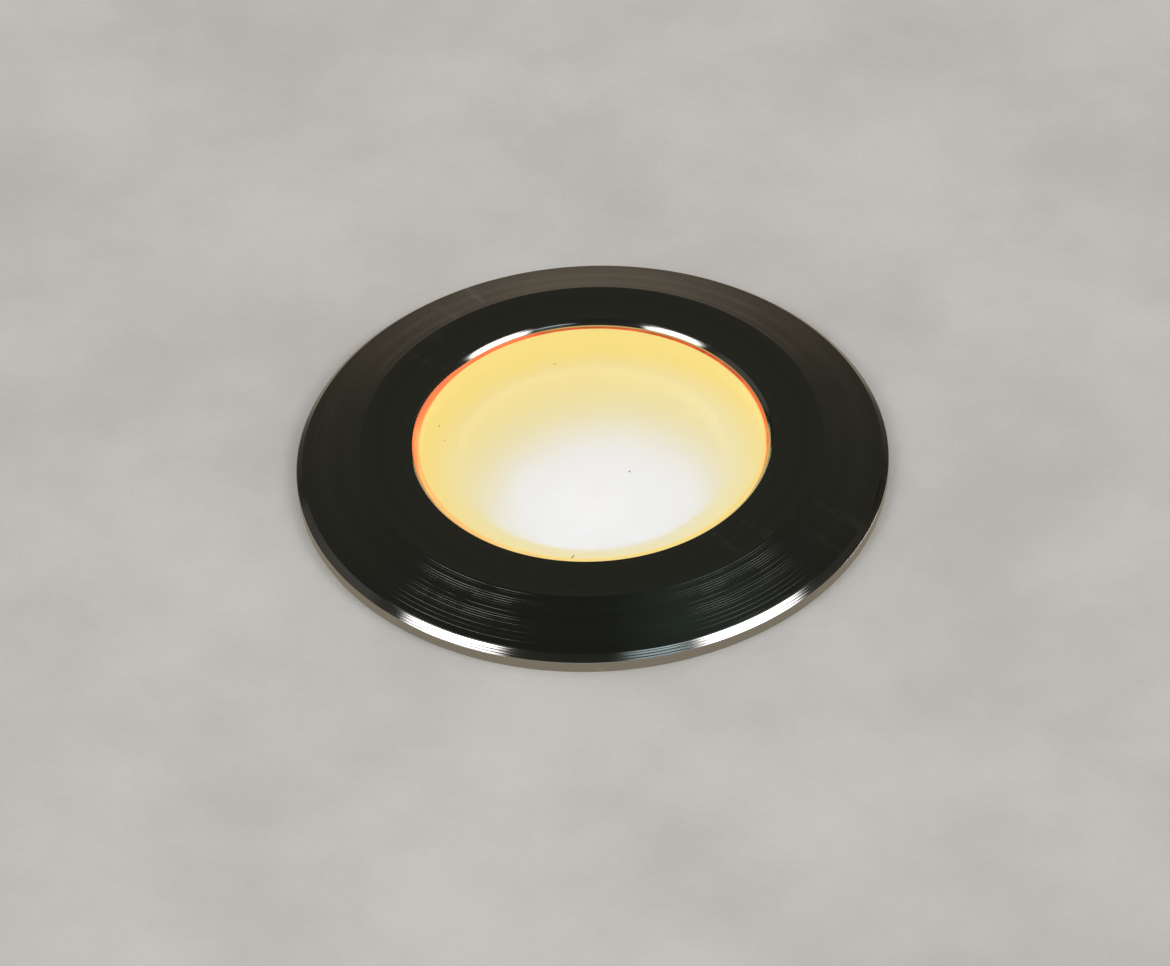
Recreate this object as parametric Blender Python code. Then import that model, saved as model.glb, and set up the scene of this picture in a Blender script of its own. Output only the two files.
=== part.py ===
"""Round recessed floor light with a turned steel bezel, in metres, +Z up.

The origin is on the lamp's axis, at the level of the finished floor. The bezel stands above the
floor, and everything else hangs below it: the lamp in its sealed housing, and the plastic sleeve
that is cast into the floor. The lamp lifts straight out of the sleeve, and three leaf springs on
the housing grip the sleeve's wall.
"""

import math

import bmesh
import bpy
from mathutils import Matrix, Vector

# Clearances
SEAT_GAP = 0.0003       # between pieces that touch on the real object
SCREW_GAP = 0.0002      # around a screw in its hole
CLIP_GAP = 0.0004       # under a spring's tab, so that it can rock
OVERRUN = 0.0010        # how far a cutter or a joined shape runs past a face
MERGE_DISTANCE = 0.000001

# Lens and its seals
LENS_RADIUS = 0.01765
LENS_THICKNESS = 0.0040
LENS_SINK = 0.00043     # lens face below the bezel's flat top
LENS_BEVEL = 0.00025
LENS_GAP = 0.00025      # ring-shaped gap between the lens and the bezel's lip
SEAL_ROOM = 0.00095     # radial room for the seal around the lens
SEAL_HEIGHT = 0.0009
LENS_GASKET_THICKNESS = 0.0008
LENS_GASKET_WIDTH = 0.0018

# Bezel
RIM_HEIGHT = 0.0012
RIM_CHAMFER = 0.00065
CONE_RISE = 0.00215
FLAT_WIDTH = 0.00505
APERTURE_CHAMFER = 0.00045
LIP_HEIGHT = 0.0003
NECK_WALL = 0.0016      # around the lens seat
LEDGE_WIDTH = 0.0034    # step that carries the lens
LEDGE_THICKNESS = 0.0012
FLANGE_REST = 0.0028    # width of the face that rests on the floor
RECESS_DEPTH = 0.0012   # under the flange, over the sleeve's mouth
FLANGE_GASKET_THICKNESS = 0.0009

# Seal between the bezel's neck and the housing
O_RING_SECTION = 0.00065
GROOVE_DEPTH = 0.00145
GROOVE_HEIGHT = 0.0018
GROOVE_EDGE = 0.0018    # between the lens seat and the groove

# Reflector
REFLECTOR_DEPTH = 0.0044
REFLECTOR_WALL = 0.0008
REFLECTOR_THROAT = 0.0042
BORE_STEP = 0.0008      # the bore below the ledge is wider than the ledge's edge by this

# Light engine
LED_BOARD_THICKNESS = 0.0016
LED_BOARD_MARGIN = 0.0006
LED_PACKAGE_SIDE = 0.0050
LED_PACKAGE_HEIGHT = 0.0008
LED_DOME_RADIUS = 0.0020
PAD_THICKNESS = 0.0005
SPREADER_THICKNESS = 0.0050
POCKET_WALL = 0.0017    # between the pocket under the spreader and its wire hole
POCKET_DEPTH = 0.0020

# Lead wires from the light engine to the driver
WIRE_RADIUS = 0.0005
WIRE_SPACING = 0.0016
WIRE_HOLE_RADIUS = 0.0023
WIRE_HOLE_EDGE = 0.0011     # between the wire hole and the board's edge
GROMMET_WALL = 0.0005
GROMMET_LIP = 0.0006
WIRE_PAD_OFFSET = 0.0052
WIRE_LANDING_OFFSET = 0.0020

# Small screws
SCREW_RADIUS = 0.0010
SCREW_HEAD_RADIUS = 0.0019
SCREW_HEAD_HEIGHT = 0.0014
SCREW_SLOT_WIDTH = 0.0005
SCREW_SLOT_DEPTH = 0.0006
SPREADER_SCREW_BITE = 0.0030
STANDOFF_SCREW_LENGTH = 0.0050

# Set screws that hold the housing to the neck
SET_SCREW_RADIUS = 0.0015
SET_SCREW_LENGTH = 0.0030
SET_SCREW_EDGE = 0.0021     # above the neck's lower end
SET_SOCKET_RADIUS = 0.0008
SET_SOCKET_DEPTH = 0.0014

# Driver
BOARD_AIR = 0.0045      # above the tallest component
STANDOFF_RADIUS = 0.0022
STANDOFF_EDGE = 0.0012  # between a standoff and the driver board's edge
STUD_LENGTH = 0.0025
DRIVER_BOARD_THICKNESS = 0.0016
DRIVER_BOARD_MARGIN = 0.0006
COMPONENT_SPACING = 0.0012
CHIP_SIZE = (0.0050, 0.0040, 0.0016)
RECTIFIER_SIZE = (0.0065, 0.0048, 0.0024)
CAPACITOR_RADIUS = 0.0035
CAPACITOR_HEIGHT = 0.0105
INDUCTOR_RADIUS = 0.0040
INDUCTOR_HEIGHT = 0.0070
INDUCTOR_FLANGE = 0.0010
INDUCTOR_CORE_RADIUS = 0.0019
WINDING_THICKNESS = 0.0014
TERMINAL_PITCH = 0.0050
TERMINAL_END = 0.0002   # plastic beyond the two ways
TERMINAL_SIZE = (2 * (TERMINAL_PITCH + TERMINAL_END), 0.0080, 0.0090)
TERMINAL_BORE = 0.0015
TERMINAL_BORE_DEPTH = 0.0060
TERMINAL_SCREW_RADIUS = 0.0013
TERMINAL_SCREW_LENGTH = 0.0022
CORE_ROOM = 0.0080      # under the terminal block, for the cable's cores

# Housing
HOUSING_WALL = 0.0015
HOUSING_FLOOR = 0.0025
HOUSING_EDGE = 0.0010
FIN_COUNT = 3
FIN_PITCH = 0.0030
FIN_GROOVE = 0.0014
FIN_DEPTH = 0.0007
FIN_RISE = 0.0060       # lowest cooling groove, above the housing's bottom

# Leaf springs
CLIP_COUNT = 3
CLIP_ROOM = 0.0034      # between the housing and the sleeve
CLIP_WIDTH = 0.0060
CLIP_THICKNESS = 0.0005
CLIP_SEAT_DEPTH = 0.0006
CLIP_TAB = 0.0054
CLIP_LENGTH = 0.0180
CLIP_DROP = 0.0130      # the rivet, below the floor level
CLIP_APEX_SHARE = 0.68  # how far down the leaf its bow is widest
CLIP_POINTS = 8
RIVET_RADIUS = 0.0010
RIVET_HEAD_RADIUS = 0.0019
RIVET_HEAD_HEIGHT = 0.0007

# Cable gland
GLAND_RADIUS = 0.0060
GLAND_BORE = 0.0038
GLAND_HEX_RADIUS = 0.0088
GLAND_HEX_HEIGHT = 0.0035
GLAND_BARREL_RADIUS = 0.0056
GLAND_BARREL_LENGTH = 0.0065
GLAND_TOP_REACH = 0.0020   # above the locknut
LOCKNUT_HEIGHT = 0.0030
GLAND_RING_THICKNESS = 0.0010
GLAND_RING_WIDTH = 0.0012
GLAND_SEAL_HEIGHT = 0.0016
GLAND_SEAL_BORE = 0.0036
CAP_WALL = 0.0021
CAP_FLOOR = 0.0016
CAP_EDGE = 0.0010
CAP_HOLE_RADIUS = 0.0040
CAP_FLUTE_COUNT = 6
CAP_FLUTE_RADIUS = 0.0010
CAP_FLUTE_DEPTH = 0.0005

# Sleeve
SLEEVE_WALL = 0.0015
SLEEVE_FLOOR = 0.0020
SLEEVE_LEAD_IN = 0.0005
CABLE_ROOM = 0.0120     # under the gland, for the cable's bend
RIB_COUNT = 8
RIB_WIDTH = 0.0016
RIB_HEIGHT = 0.0015
RIB_TOP_DROP = 0.0120
ANCHOR_DROP = 0.0440
ANCHOR_WIDTH = 0.0032
ANCHOR_THICKNESS = 0.0018
PORT_BORE = 0.0062
PORT_WALL = 0.0017
PORT_LENGTH = 0.0070
PORT_SILL = 0.0005      # between the sleeve's floor and a port's bore
DRAIN_COUNT = 4
DRAIN_RADIUS = 0.0019
DRAIN_REACH = 0.0130
PLUG_HEAD_THICKNESS = 0.0018
PLUG_DEPTH = 0.0055
PLUG_WALL = 0.0014

# Facets round a full circle
WIDE_FACETS = 48
ROUND_FACETS = 36
SMALL_FACETS = 16
SCREW_FACETS = 12
FLUTE_FACETS = 8
O_RING_FACETS = 8       # round the section of the O-ring
REFLECTOR_POINTS = 5
DOME_SLICES = 4
WIRE_STEPS = 3          # between two points of a wire's route

# Radii that follow from the lens outwards
LIP_RADIUS = LENS_RADIUS + LENS_GAP
APERTURE_RADIUS = LIP_RADIUS + APERTURE_CHAMFER
SEAT_RADIUS = LENS_RADIUS + SEAL_ROOM
NECK_RADIUS = SEAT_RADIUS + NECK_WALL
LEDGE_RADIUS = SEAT_RADIUS - LEDGE_WIDTH
BORE_RADIUS = LEDGE_RADIUS + BORE_STEP
SPREADER_SCREW_REACH = (BORE_RADIUS + NECK_RADIUS) / 2
FLAT_RADIUS = APERTURE_RADIUS + FLAT_WIDTH
HOUSING_INNER = NECK_RADIUS + SEAT_GAP
HOUSING_RADIUS = HOUSING_INNER + HOUSING_WALL
SLEEVE_INNER = HOUSING_RADIUS + CLIP_ROOM
SLEEVE_RADIUS = SLEEVE_INNER + SLEEVE_WALL
RECESS_RADIUS = SLEEVE_RADIUS + SEAT_GAP
BEZEL_RADIUS = RECESS_RADIUS + FLANGE_REST
LED_BOARD_RADIUS = BORE_RADIUS - LED_BOARD_MARGIN
WIRE_HOLE_REACH = LED_BOARD_RADIUS - WIRE_HOLE_EDGE - WIRE_HOLE_RADIUS
POCKET_RADIUS = WIRE_HOLE_REACH - WIRE_HOLE_RADIUS - POCKET_WALL
DRIVER_BOARD_RADIUS = HOUSING_INNER - DRIVER_BOARD_MARGIN
STANDOFF_REACH = DRIVER_BOARD_RADIUS - STANDOFF_EDGE - STANDOFF_RADIUS
CLIP_SEAT = HOUSING_RADIUS - CLIP_SEAT_DEPTH
CAP_BORE = GLAND_BARREL_RADIUS + SEAT_GAP
CAP_RADIUS = CAP_BORE + CAP_WALL

# Levels that follow from the bezel's top downwards
BEZEL_TOP = RIM_HEIGHT + RIM_CHAMFER + CONE_RISE
LENS_TOP = BEZEL_TOP - LENS_SINK
LENS_BOTTOM = LENS_TOP - LENS_THICKNESS
LIP_BOTTOM = BEZEL_TOP - APERTURE_CHAMFER - LIP_HEIGHT
LEDGE_TOP = LENS_BOTTOM - LENS_GASKET_THICKNESS - 2 * SEAT_GAP
LEDGE_BOTTOM = LEDGE_TOP - LEDGE_THICKNESS
GROOVE_TOP = LEDGE_TOP - GROOVE_EDGE
GROOVE_BOTTOM = GROOVE_TOP - GROOVE_HEIGHT
REFLECTOR_TOP = LEDGE_BOTTOM - SEAT_GAP
REFLECTOR_BOTTOM = REFLECTOR_TOP - REFLECTOR_DEPTH
LED_BOARD_TOP = REFLECTOR_BOTTOM - SEAT_GAP
LED_BOARD_BOTTOM = LED_BOARD_TOP - LED_BOARD_THICKNESS
PAD_TOP = LED_BOARD_BOTTOM - SEAT_GAP
PAD_BOTTOM = PAD_TOP - PAD_THICKNESS
SPREADER_TOP = PAD_BOTTOM - SEAT_GAP
NECK_BOTTOM = SPREADER_TOP + SEAT_GAP
SET_SCREW_LEVEL = NECK_BOTTOM + SET_SCREW_EDGE
SPREADER_BOTTOM = SPREADER_TOP - SPREADER_THICKNESS
STANDOFF_TOP = SPREADER_BOTTOM - SEAT_GAP
STANDOFF_BOTTOM = STANDOFF_TOP - max(CAPACITOR_HEIGHT, INDUCTOR_HEIGHT) - BOARD_AIR
DRIVER_TOP = STANDOFF_BOTTOM - SEAT_GAP
DRIVER_BOTTOM = DRIVER_TOP - DRIVER_BOARD_THICKNESS
TERMINAL_TOP = DRIVER_BOTTOM - SEAT_GAP
TERMINAL_BOTTOM = TERMINAL_TOP - TERMINAL_SIZE[2]
GLAND_TOP = TERMINAL_BOTTOM - CORE_ROOM
LOCKNUT_TOP = GLAND_TOP - GLAND_TOP_REACH
LOCKNUT_BOTTOM = LOCKNUT_TOP - LOCKNUT_HEIGHT
HOUSING_INNER_BOTTOM = LOCKNUT_BOTTOM - SEAT_GAP
HOUSING_BOTTOM = HOUSING_INNER_BOTTOM - HOUSING_FLOOR
GLAND_RING_TOP = HOUSING_BOTTOM - SEAT_GAP
GLAND_HEX_TOP = GLAND_RING_TOP - GLAND_RING_THICKNESS - SEAT_GAP
GLAND_HEX_BOTTOM = GLAND_HEX_TOP - GLAND_HEX_HEIGHT
GLAND_BARREL_BOTTOM = GLAND_HEX_BOTTOM - GLAND_BARREL_LENGTH
GLAND_SEAL_TOP = GLAND_BARREL_BOTTOM - SEAT_GAP
GLAND_SEAL_BOTTOM = GLAND_SEAL_TOP - GLAND_SEAL_HEIGHT
CAP_TOP = GLAND_HEX_BOTTOM - SEAT_GAP
CAP_INNER_BOTTOM = GLAND_SEAL_BOTTOM - SEAT_GAP
CAP_BOTTOM = CAP_INNER_BOTTOM - CAP_FLOOR
FLANGE_GASKET_BOTTOM = RECESS_DEPTH - SEAT_GAP - FLANGE_GASKET_THICKNESS
SLEEVE_TOP = FLANGE_GASKET_BOTTOM - SEAT_GAP
SLEEVE_INNER_BOTTOM = CAP_BOTTOM - CABLE_ROOM
SLEEVE_BOTTOM = SLEEVE_INNER_BOTTOM - SLEEVE_FLOOR
PORT_LEVEL = SLEEVE_INNER_BOTTOM + PORT_SILL + PORT_BORE

# Places on the driver board, round the chip at its middle
CAPACITOR_PLACE = (0, -CHIP_SIZE[1] / 2 - COMPONENT_SPACING - CAPACITOR_RADIUS)
RECTIFIER_PLACE = (0, CHIP_SIZE[1] / 2 + COMPONENT_SPACING + RECTIFIER_SIZE[1] / 2)
INDUCTOR_PLACE = (-CHIP_SIZE[0] / 2 - COMPONENT_SPACING - INDUCTOR_RADIUS, 0)

# Directions round the axis, in degrees
THIRD_TURN = 360 / CLIP_COUNT
CLIP_ANGLES = [270 + THIRD_TURN * k for k in range(CLIP_COUNT)]
SCREW_ANGLES = [angle + THIRD_TURN / 2 for angle in CLIP_ANGLES]
PORT_ANGLE = 90
PLUG_ANGLE = 270


def clear_scene():
    """Removes every object, so that the script starts from nothing."""
    for old in list(bpy.data.objects):
        bpy.data.objects.remove(old, do_unlink=True)


def finish(name, colour, roughness, metallic=0.0, alpha=1.0):
    """A Principled material in the sub-part's colour."""
    made = bpy.data.materials.new(name)
    made.use_nodes = True
    shader = made.node_tree.nodes["Principled BSDF"]
    shader.inputs["Base Color"].default_value = (*colour, 1.0)
    shader.inputs["Roughness"].default_value = roughness
    shader.inputs["Metallic"].default_value = metallic
    shader.inputs["Alpha"].default_value = alpha
    made.diffuse_color = (*colour, alpha)
    return made


def add_object(name, work, material):
    """Turns a bmesh into a named object with smooth round faces."""
    bmesh.ops.remove_doubles(work, verts=work.verts, dist=MERGE_DISTANCE)
    bmesh.ops.recalc_face_normals(work, faces=work.faces)
    mesh = bpy.data.meshes.new(name)
    work.to_mesh(mesh)
    work.free()
    made = bpy.data.objects.new(name, mesh)
    bpy.context.scene.collection.objects.link(made)
    if material:
        mesh.materials.append(material)
    mesh.shade_smooth()
    mesh.set_sharp_from_angle(angle=math.radians(30))
    return made


def spin_profile(work, profile, facets):
    """Spins a closed (radius, level) outline round the Z axis into work."""
    corners = [work.verts.new((r, 0, z)) for r, z in profile]
    edges = []
    for first, second in zip(corners, corners[1:] + corners[:1]):
        if first.co.x > 0 or second.co.x > 0:
            edges.append(work.edges.new((first, second)))
    bmesh.ops.spin(
        work, geom=corners + edges, cent=(0, 0, 0), axis=(0, 0, 1),
        angle=math.radians(360), steps=facets, use_merge=True)


def turned(name, profile, material, facets=ROUND_FACETS):
    """A turned solid. Its outline is a closed list of (radius, level) points."""
    work = bmesh.new()
    spin_profile(work, profile, facets)
    return add_object(name, work, material)


def plate(name, radius, bottom, top, material, facets=ROUND_FACETS):
    """A plain round plate."""
    return turned(name, [(0, bottom), (radius, bottom), (radius, top), (0, top)], material, facets)


def ring(name, inner, outer, bottom, top, material, facets=ROUND_FACETS):
    """A flat ring of square section."""
    return turned(name, [(inner, bottom), (outer, bottom), (outer, top), (inner, top)], material, facets)


def o_ring(name, centre_radius, section, level, material):
    """A ring of round section."""
    angles = [math.tau * k / O_RING_FACETS for k in range(O_RING_FACETS)]
    profile = [(centre_radius + section * math.cos(a), level + section * math.sin(a)) for a in angles]
    return turned(name, profile, material)


def prism(name, outline, bottom, top, material):
    """A flat closed (x, y) outline, extruded from one level to another."""
    work = bmesh.new()
    face = work.faces.new([work.verts.new((x, y, bottom)) for x, y in outline])
    raised = bmesh.ops.extrude_face_region(work, geom=[face])["geom"]
    lifted = [part for part in raised if isinstance(part, bmesh.types.BMVert)]
    bmesh.ops.translate(work, verts=lifted, vec=(0, 0, top - bottom))
    return add_object(name, work, material)


def polygon(radius, corners, turn=0.0):
    """The corners of a regular polygon, as an outline for prism."""
    angles = [math.radians(turn) + math.tau * k / corners for k in range(corners)]
    return [(radius * math.cos(a), radius * math.sin(a)) for a in angles]


def box(name, size, centre, material):
    """A box of the given size, centred at a point."""
    work = bmesh.new()
    stretch = Matrix.Diagonal((*size, 1))
    bmesh.ops.create_cube(work, size=1, matrix=Matrix.Translation(centre) @ stretch)
    return add_object(name, work, material)


def cylinder(name, radius, start, end, material=None, facets=SCREW_FACETS):
    """A cylinder between two points."""
    start, end = Vector(start), Vector(end)
    axis = end - start
    aim = axis.to_track_quat("Z", "Y").to_matrix().to_4x4()
    work = bmesh.new()
    bmesh.ops.create_cone(
        work, cap_ends=True, segments=facets, radius1=radius, radius2=radius,
        depth=axis.length, matrix=Matrix.Translation((start + end) / 2) @ aim)
    return add_object(name, work, material)


def combine(name, parts):
    """Joins helper objects that stand apart into one mesh, to cut or join with a single Boolean."""
    work = bmesh.new()
    for part in parts:
        part.data.transform(part.matrix_basis)
        work.from_mesh(part.data)
        bpy.data.objects.remove(part, do_unlink=True)
    return add_object(name, work, None)


def use_as_tool(made, tool, operation):
    """Adds a Boolean of the tool to an object, and hides the tool."""
    tool.hide_render = True
    tool.display_type = "WIRE"
    change = made.modifiers.new(tool.name, "BOOLEAN")
    change.operation = operation
    change.object = tool


def cut(made, tool):
    """Cuts the tool's shape out of an object."""
    use_as_tool(made, tool, "DIFFERENCE")


def fuse(made, tool):
    """Joins the tool's shape to an object."""
    use_as_tool(made, tool, "UNION")


def around(reach, angle, level):
    """The point at a distance from the axis, in a direction, at a level."""
    turn = math.radians(angle)
    return (reach * math.cos(turn), reach * math.sin(turn), level)


def radial_cylinder(name, radius, inner, outer, angle, level, material=None, facets=SCREW_FACETS):
    """A cylinder that lies along a radius, from one distance to another."""
    start, end = around(inner, angle, level), around(outer, angle, level)
    return cylinder(name, radius, start, end, material, facets)


def radial_box(name, inner, outer, width, bottom, top, angle):
    """A box that stands on a radius, as a helper shape."""
    size = (outer - inner, width, top - bottom)
    made = box(name, size, ((inner + outer) / 2, 0, (bottom + top) / 2), None)
    made.rotation_euler.z = math.radians(angle)
    bpy.context.view_layer.update()
    return made


def upright_holes(name, radius, reach, angles, bottom, top, facets=SCREW_FACETS):
    """A ring of upright cutters in one mesh."""
    drills = []
    for angle in angles:
        start, end = around(reach, angle, bottom), around(reach, angle, top)
        drills.append(cylinder(f"{name}_{len(drills) + 1}", radius, start, end, None, facets))
    return combine(name, drills)


STEEL = finish("polished_steel", (0.56, 0.55, 0.53), 0.12, 1.0)
SPRING_STEEL = finish("spring_steel", (0.50, 0.50, 0.50), 0.30, 1.0)
PLATED_STEEL = finish("plated_steel", (0.62, 0.61, 0.58), 0.28, 1.0)
GLASS = finish("frosted_glass", (1.00, 0.86, 0.52), 0.45, 0.0, 0.85)
AMBER_SILICONE = finish("amber_silicone", (0.85, 0.24, 0.05), 0.45)
BLACK_RUBBER = finish("black_rubber", (0.03, 0.03, 0.03), 0.70)
GREY_SILICONE = finish("grey_silicone", (0.42, 0.43, 0.44), 0.65)
ALUMINIUM = finish("aluminium", (0.72, 0.73, 0.74), 0.38, 1.0)
ANODISED = finish("anodised_housing", (0.32, 0.33, 0.34), 0.42, 1.0)
REFLECTIVE = finish("reflector_film", (0.92, 0.90, 0.84), 0.10, 1.0)
WHITE_MASK = finish("white_board", (0.90, 0.90, 0.88), 0.40)
GREEN_MASK = finish("green_board", (0.04, 0.22, 0.10), 0.38)
CERAMIC = finish("led_ceramic", (0.86, 0.85, 0.80), 0.50)
PHOSPHOR = finish("led_phosphor", (0.98, 0.80, 0.22), 0.25, 0.0, 0.9)
COPPER = finish("copper_winding", (0.72, 0.33, 0.16), 0.32, 1.0)
FERRITE = finish("ferrite", (0.10, 0.10, 0.11), 0.60)
CAPACITOR_SLEEVE = finish("capacitor_sleeve", (0.05, 0.10, 0.28), 0.35)
EPOXY = finish("black_epoxy", (0.04, 0.04, 0.045), 0.45)
TERMINAL_GREEN = finish("terminal_green", (0.10, 0.42, 0.22), 0.45)
RED_PVC = finish("red_wire", (0.62, 0.05, 0.04), 0.45)
BLACK_PVC = finish("black_wire", (0.03, 0.03, 0.03), 0.45)
GLAND_NYLON = finish("gland_nylon", (0.07, 0.07, 0.075), 0.50)
SLEEVE_PLASTIC = finish("sleeve_plastic", (0.11, 0.11, 0.115), 0.55)
BRASS = finish("brass", (0.76, 0.60, 0.30), 0.30, 1.0)


def add_bezel():
    """The turned trim: rim, cone, flat top, lens seat and neck in one piece of steel."""
    groove_radius = NECK_RADIUS - GROOVE_DEPTH
    profile = [
        (BEZEL_RADIUS, 0),
        (BEZEL_RADIUS, RIM_HEIGHT),
        (BEZEL_RADIUS - RIM_CHAMFER, RIM_HEIGHT + RIM_CHAMFER),
        (FLAT_RADIUS, BEZEL_TOP),
        (APERTURE_RADIUS, BEZEL_TOP),
        (LIP_RADIUS, BEZEL_TOP - APERTURE_CHAMFER),
        (LIP_RADIUS, LIP_BOTTOM),
        (SEAT_RADIUS, LIP_BOTTOM),
        (SEAT_RADIUS, LEDGE_TOP),
        (LEDGE_RADIUS, LEDGE_TOP),
        (LEDGE_RADIUS, LEDGE_BOTTOM),
        (BORE_RADIUS, LEDGE_BOTTOM),
        (BORE_RADIUS, NECK_BOTTOM),
        (NECK_RADIUS, NECK_BOTTOM),
        (NECK_RADIUS, GROOVE_BOTTOM),
        (groove_radius, GROOVE_BOTTOM),
        (groove_radius, GROOVE_TOP),
        (NECK_RADIUS, GROOVE_TOP),
        (NECK_RADIUS, RECESS_DEPTH),
        (RECESS_RADIUS, RECESS_DEPTH),
        (RECESS_RADIUS, 0),
    ]
    bezel = turned("bezel", profile, STEEL, WIDE_FACETS)
    cut(bezel, upright_holes(
        "cut_neck_screw_holes", SCREW_RADIUS + SCREW_GAP, SPREADER_SCREW_REACH, CLIP_ANGLES,
        NECK_BOTTOM - OVERRUN, NECK_BOTTOM + SPREADER_SCREW_BITE + SEAT_GAP))
    hole_end = HOUSING_RADIUS - SCREW_GAP - SET_SCREW_LENGTH - SEAT_GAP
    drills = [
        radial_cylinder(
            f"seat_drill_{angle}", SET_SCREW_RADIUS + SCREW_GAP, hole_end, NECK_RADIUS + OVERRUN,
            angle, SET_SCREW_LEVEL)
        for angle in SCREW_ANGLES]
    cut(bezel, combine("cut_set_screw_seats", drills))


def add_lens():
    """Frosted glass disc with a bevelled upper edge."""
    turned("lens", [
        (0, LENS_BOTTOM),
        (LENS_RADIUS, LENS_BOTTOM),
        (LENS_RADIUS, LENS_TOP - LENS_BEVEL),
        (LENS_RADIUS - LENS_BEVEL, LENS_TOP),
        (0, LENS_TOP),
    ], GLASS, WIDE_FACETS)


def add_lens_seals():
    """The amber bead round the lens, the gasket it sits on, and the gasket over the sleeve."""
    bead_gap = SEAT_GAP / 2
    bead_top = LIP_BOTTOM - bead_gap
    ring("lens_seal", LENS_RADIUS + bead_gap, SEAT_RADIUS - bead_gap, bead_top - SEAL_HEIGHT, bead_top,
         AMBER_SILICONE, WIDE_FACETS)
    gasket_outer = LENS_RADIUS - SEAT_GAP
    ring("lens_gasket", gasket_outer - LENS_GASKET_WIDTH, gasket_outer, LEDGE_TOP + SEAT_GAP,
         LENS_BOTTOM - SEAT_GAP, GREY_SILICONE)
    ring("flange_gasket", NECK_RADIUS + SEAT_GAP, RECESS_RADIUS - SEAT_GAP, FLANGE_GASKET_BOTTOM,
         RECESS_DEPTH - SEAT_GAP, BLACK_RUBBER)
    middle = NECK_RADIUS - GROOVE_DEPTH + SCREW_GAP + O_RING_SECTION
    o_ring("neck_o_ring", middle, O_RING_SECTION, (GROOVE_TOP + GROOVE_BOTTOM) / 2, BLACK_RUBBER)


def reflector_curve(mouth):
    """Radius and level along the underside of the cup, from throat to mouth: a parabola."""
    curve = []
    for k in range(REFLECTOR_POINTS):
        radius = REFLECTOR_THROAT + (mouth - REFLECTOR_THROAT) * k / (REFLECTOR_POINTS - 1)
        rise = (radius ** 2 - REFLECTOR_THROAT ** 2) / (mouth ** 2 - REFLECTOR_THROAT ** 2)
        curve.append((radius, REFLECTOR_BOTTOM + (REFLECTOR_DEPTH - REFLECTOR_WALL) * rise))
    return curve


def add_reflector():
    """Bright cup with a flange under the ledge and a collar that reaches up through it to the lens."""
    collar = LEDGE_RADIUS - SEAT_GAP
    mouth = collar - REFLECTOR_WALL
    flange_radius = BORE_RADIUS - SEAT_GAP
    outer = reflector_curve(mouth)
    inner = [(radius, level + REFLECTOR_WALL) for radius, level in outer]
    turned("reflector", outer + [
        (flange_radius, REFLECTOR_TOP - REFLECTOR_WALL),
        (flange_radius, REFLECTOR_TOP),
        (collar, REFLECTOR_TOP),
        (collar, LENS_BOTTOM - SEAT_GAP),
        (mouth, LENS_BOTTOM - SEAT_GAP),
    ] + inner[::-1], REFLECTIVE)


def add_light_engine():
    """Board, light source and thermal pad."""
    board = plate("led_board", LED_BOARD_RADIUS, LED_BOARD_BOTTOM, LED_BOARD_TOP, WHITE_MASK)
    pad = plate("thermal_pad", LED_BOARD_RADIUS, PAD_BOTTOM, PAD_TOP, GREY_SILICONE)
    wire_way = upright_holes(
        "cut_wire_way", WIRE_HOLE_RADIUS, WIRE_HOLE_REACH, [0], PAD_BOTTOM - OVERRUN, LED_BOARD_TOP + OVERRUN)
    cut(board, wire_way)
    cut(pad, wire_way)
    package_bottom = LED_BOARD_TOP + SEAT_GAP
    package_top = package_bottom + LED_PACKAGE_HEIGHT
    box("led_package", (LED_PACKAGE_SIDE, LED_PACKAGE_SIDE, LED_PACKAGE_HEIGHT),
        (0, 0, (package_bottom + package_top) / 2), CERAMIC)
    dome_bottom = package_top + SEAT_GAP
    turns = [math.radians(90) * k / DOME_SLICES for k in range(DOME_SLICES)]
    side = [(LED_DOME_RADIUS * math.cos(t), dome_bottom + LED_DOME_RADIUS * math.sin(t)) for t in turns]
    pole = (0, dome_bottom + LED_DOME_RADIUS)
    turned("led_dome", [(0, dome_bottom), *side, pole], PHOSPHOR, SMALL_FACETS)


def add_heat_spreader():
    """Aluminium disc that carries the light engine and passes its heat to the housing."""
    radius = HOUSING_INNER - SEAT_GAP
    pocket_top = SPREADER_BOTTOM + POCKET_DEPTH
    spreader = turned("heat_spreader", [
        (0, SPREADER_TOP),
        (0, pocket_top),
        (POCKET_RADIUS, pocket_top),
        (POCKET_RADIUS, SPREADER_BOTTOM),
        (radius, SPREADER_BOTTOM),
        (radius, SPREADER_TOP),
    ], ALUMINIUM)
    below, above = SPREADER_BOTTOM - OVERRUN, SPREADER_TOP + OVERRUN
    cut(spreader, upright_holes(
        "cut_spreader_screw_holes", SCREW_RADIUS + SCREW_GAP, SPREADER_SCREW_REACH, CLIP_ANGLES,
        below, above))
    cut(spreader, upright_holes(
        "cut_spreader_wire_hole", WIRE_HOLE_RADIUS, WIRE_HOLE_REACH, [0], below, above))
    cut(spreader, upright_holes(
        "cut_stud_holes", SCREW_RADIUS + SCREW_GAP, STANDOFF_REACH, SCREW_ANGLES,
        below, SPREADER_BOTTOM + STUD_LENGTH + SCREW_GAP))
    grommet_radius = WIRE_HOLE_RADIUS - SCREW_GAP
    lip_radius = grommet_radius + GROMMET_LIP
    lip_top = SPREADER_BOTTOM - SEAT_GAP
    lip_bottom = lip_top - GROMMET_LIP
    bore = grommet_radius - GROMMET_WALL
    grommet = turned("wire_grommet", [
        (bore, lip_bottom),
        (lip_radius, lip_bottom),
        (lip_radius, lip_top),
        (grommet_radius, lip_top),
        (grommet_radius, SPREADER_TOP),
        (bore, SPREADER_TOP),
    ], BLACK_RUBBER, SMALL_FACETS)
    grommet.location = (WIRE_HOLE_REACH, 0, 0)


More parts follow.
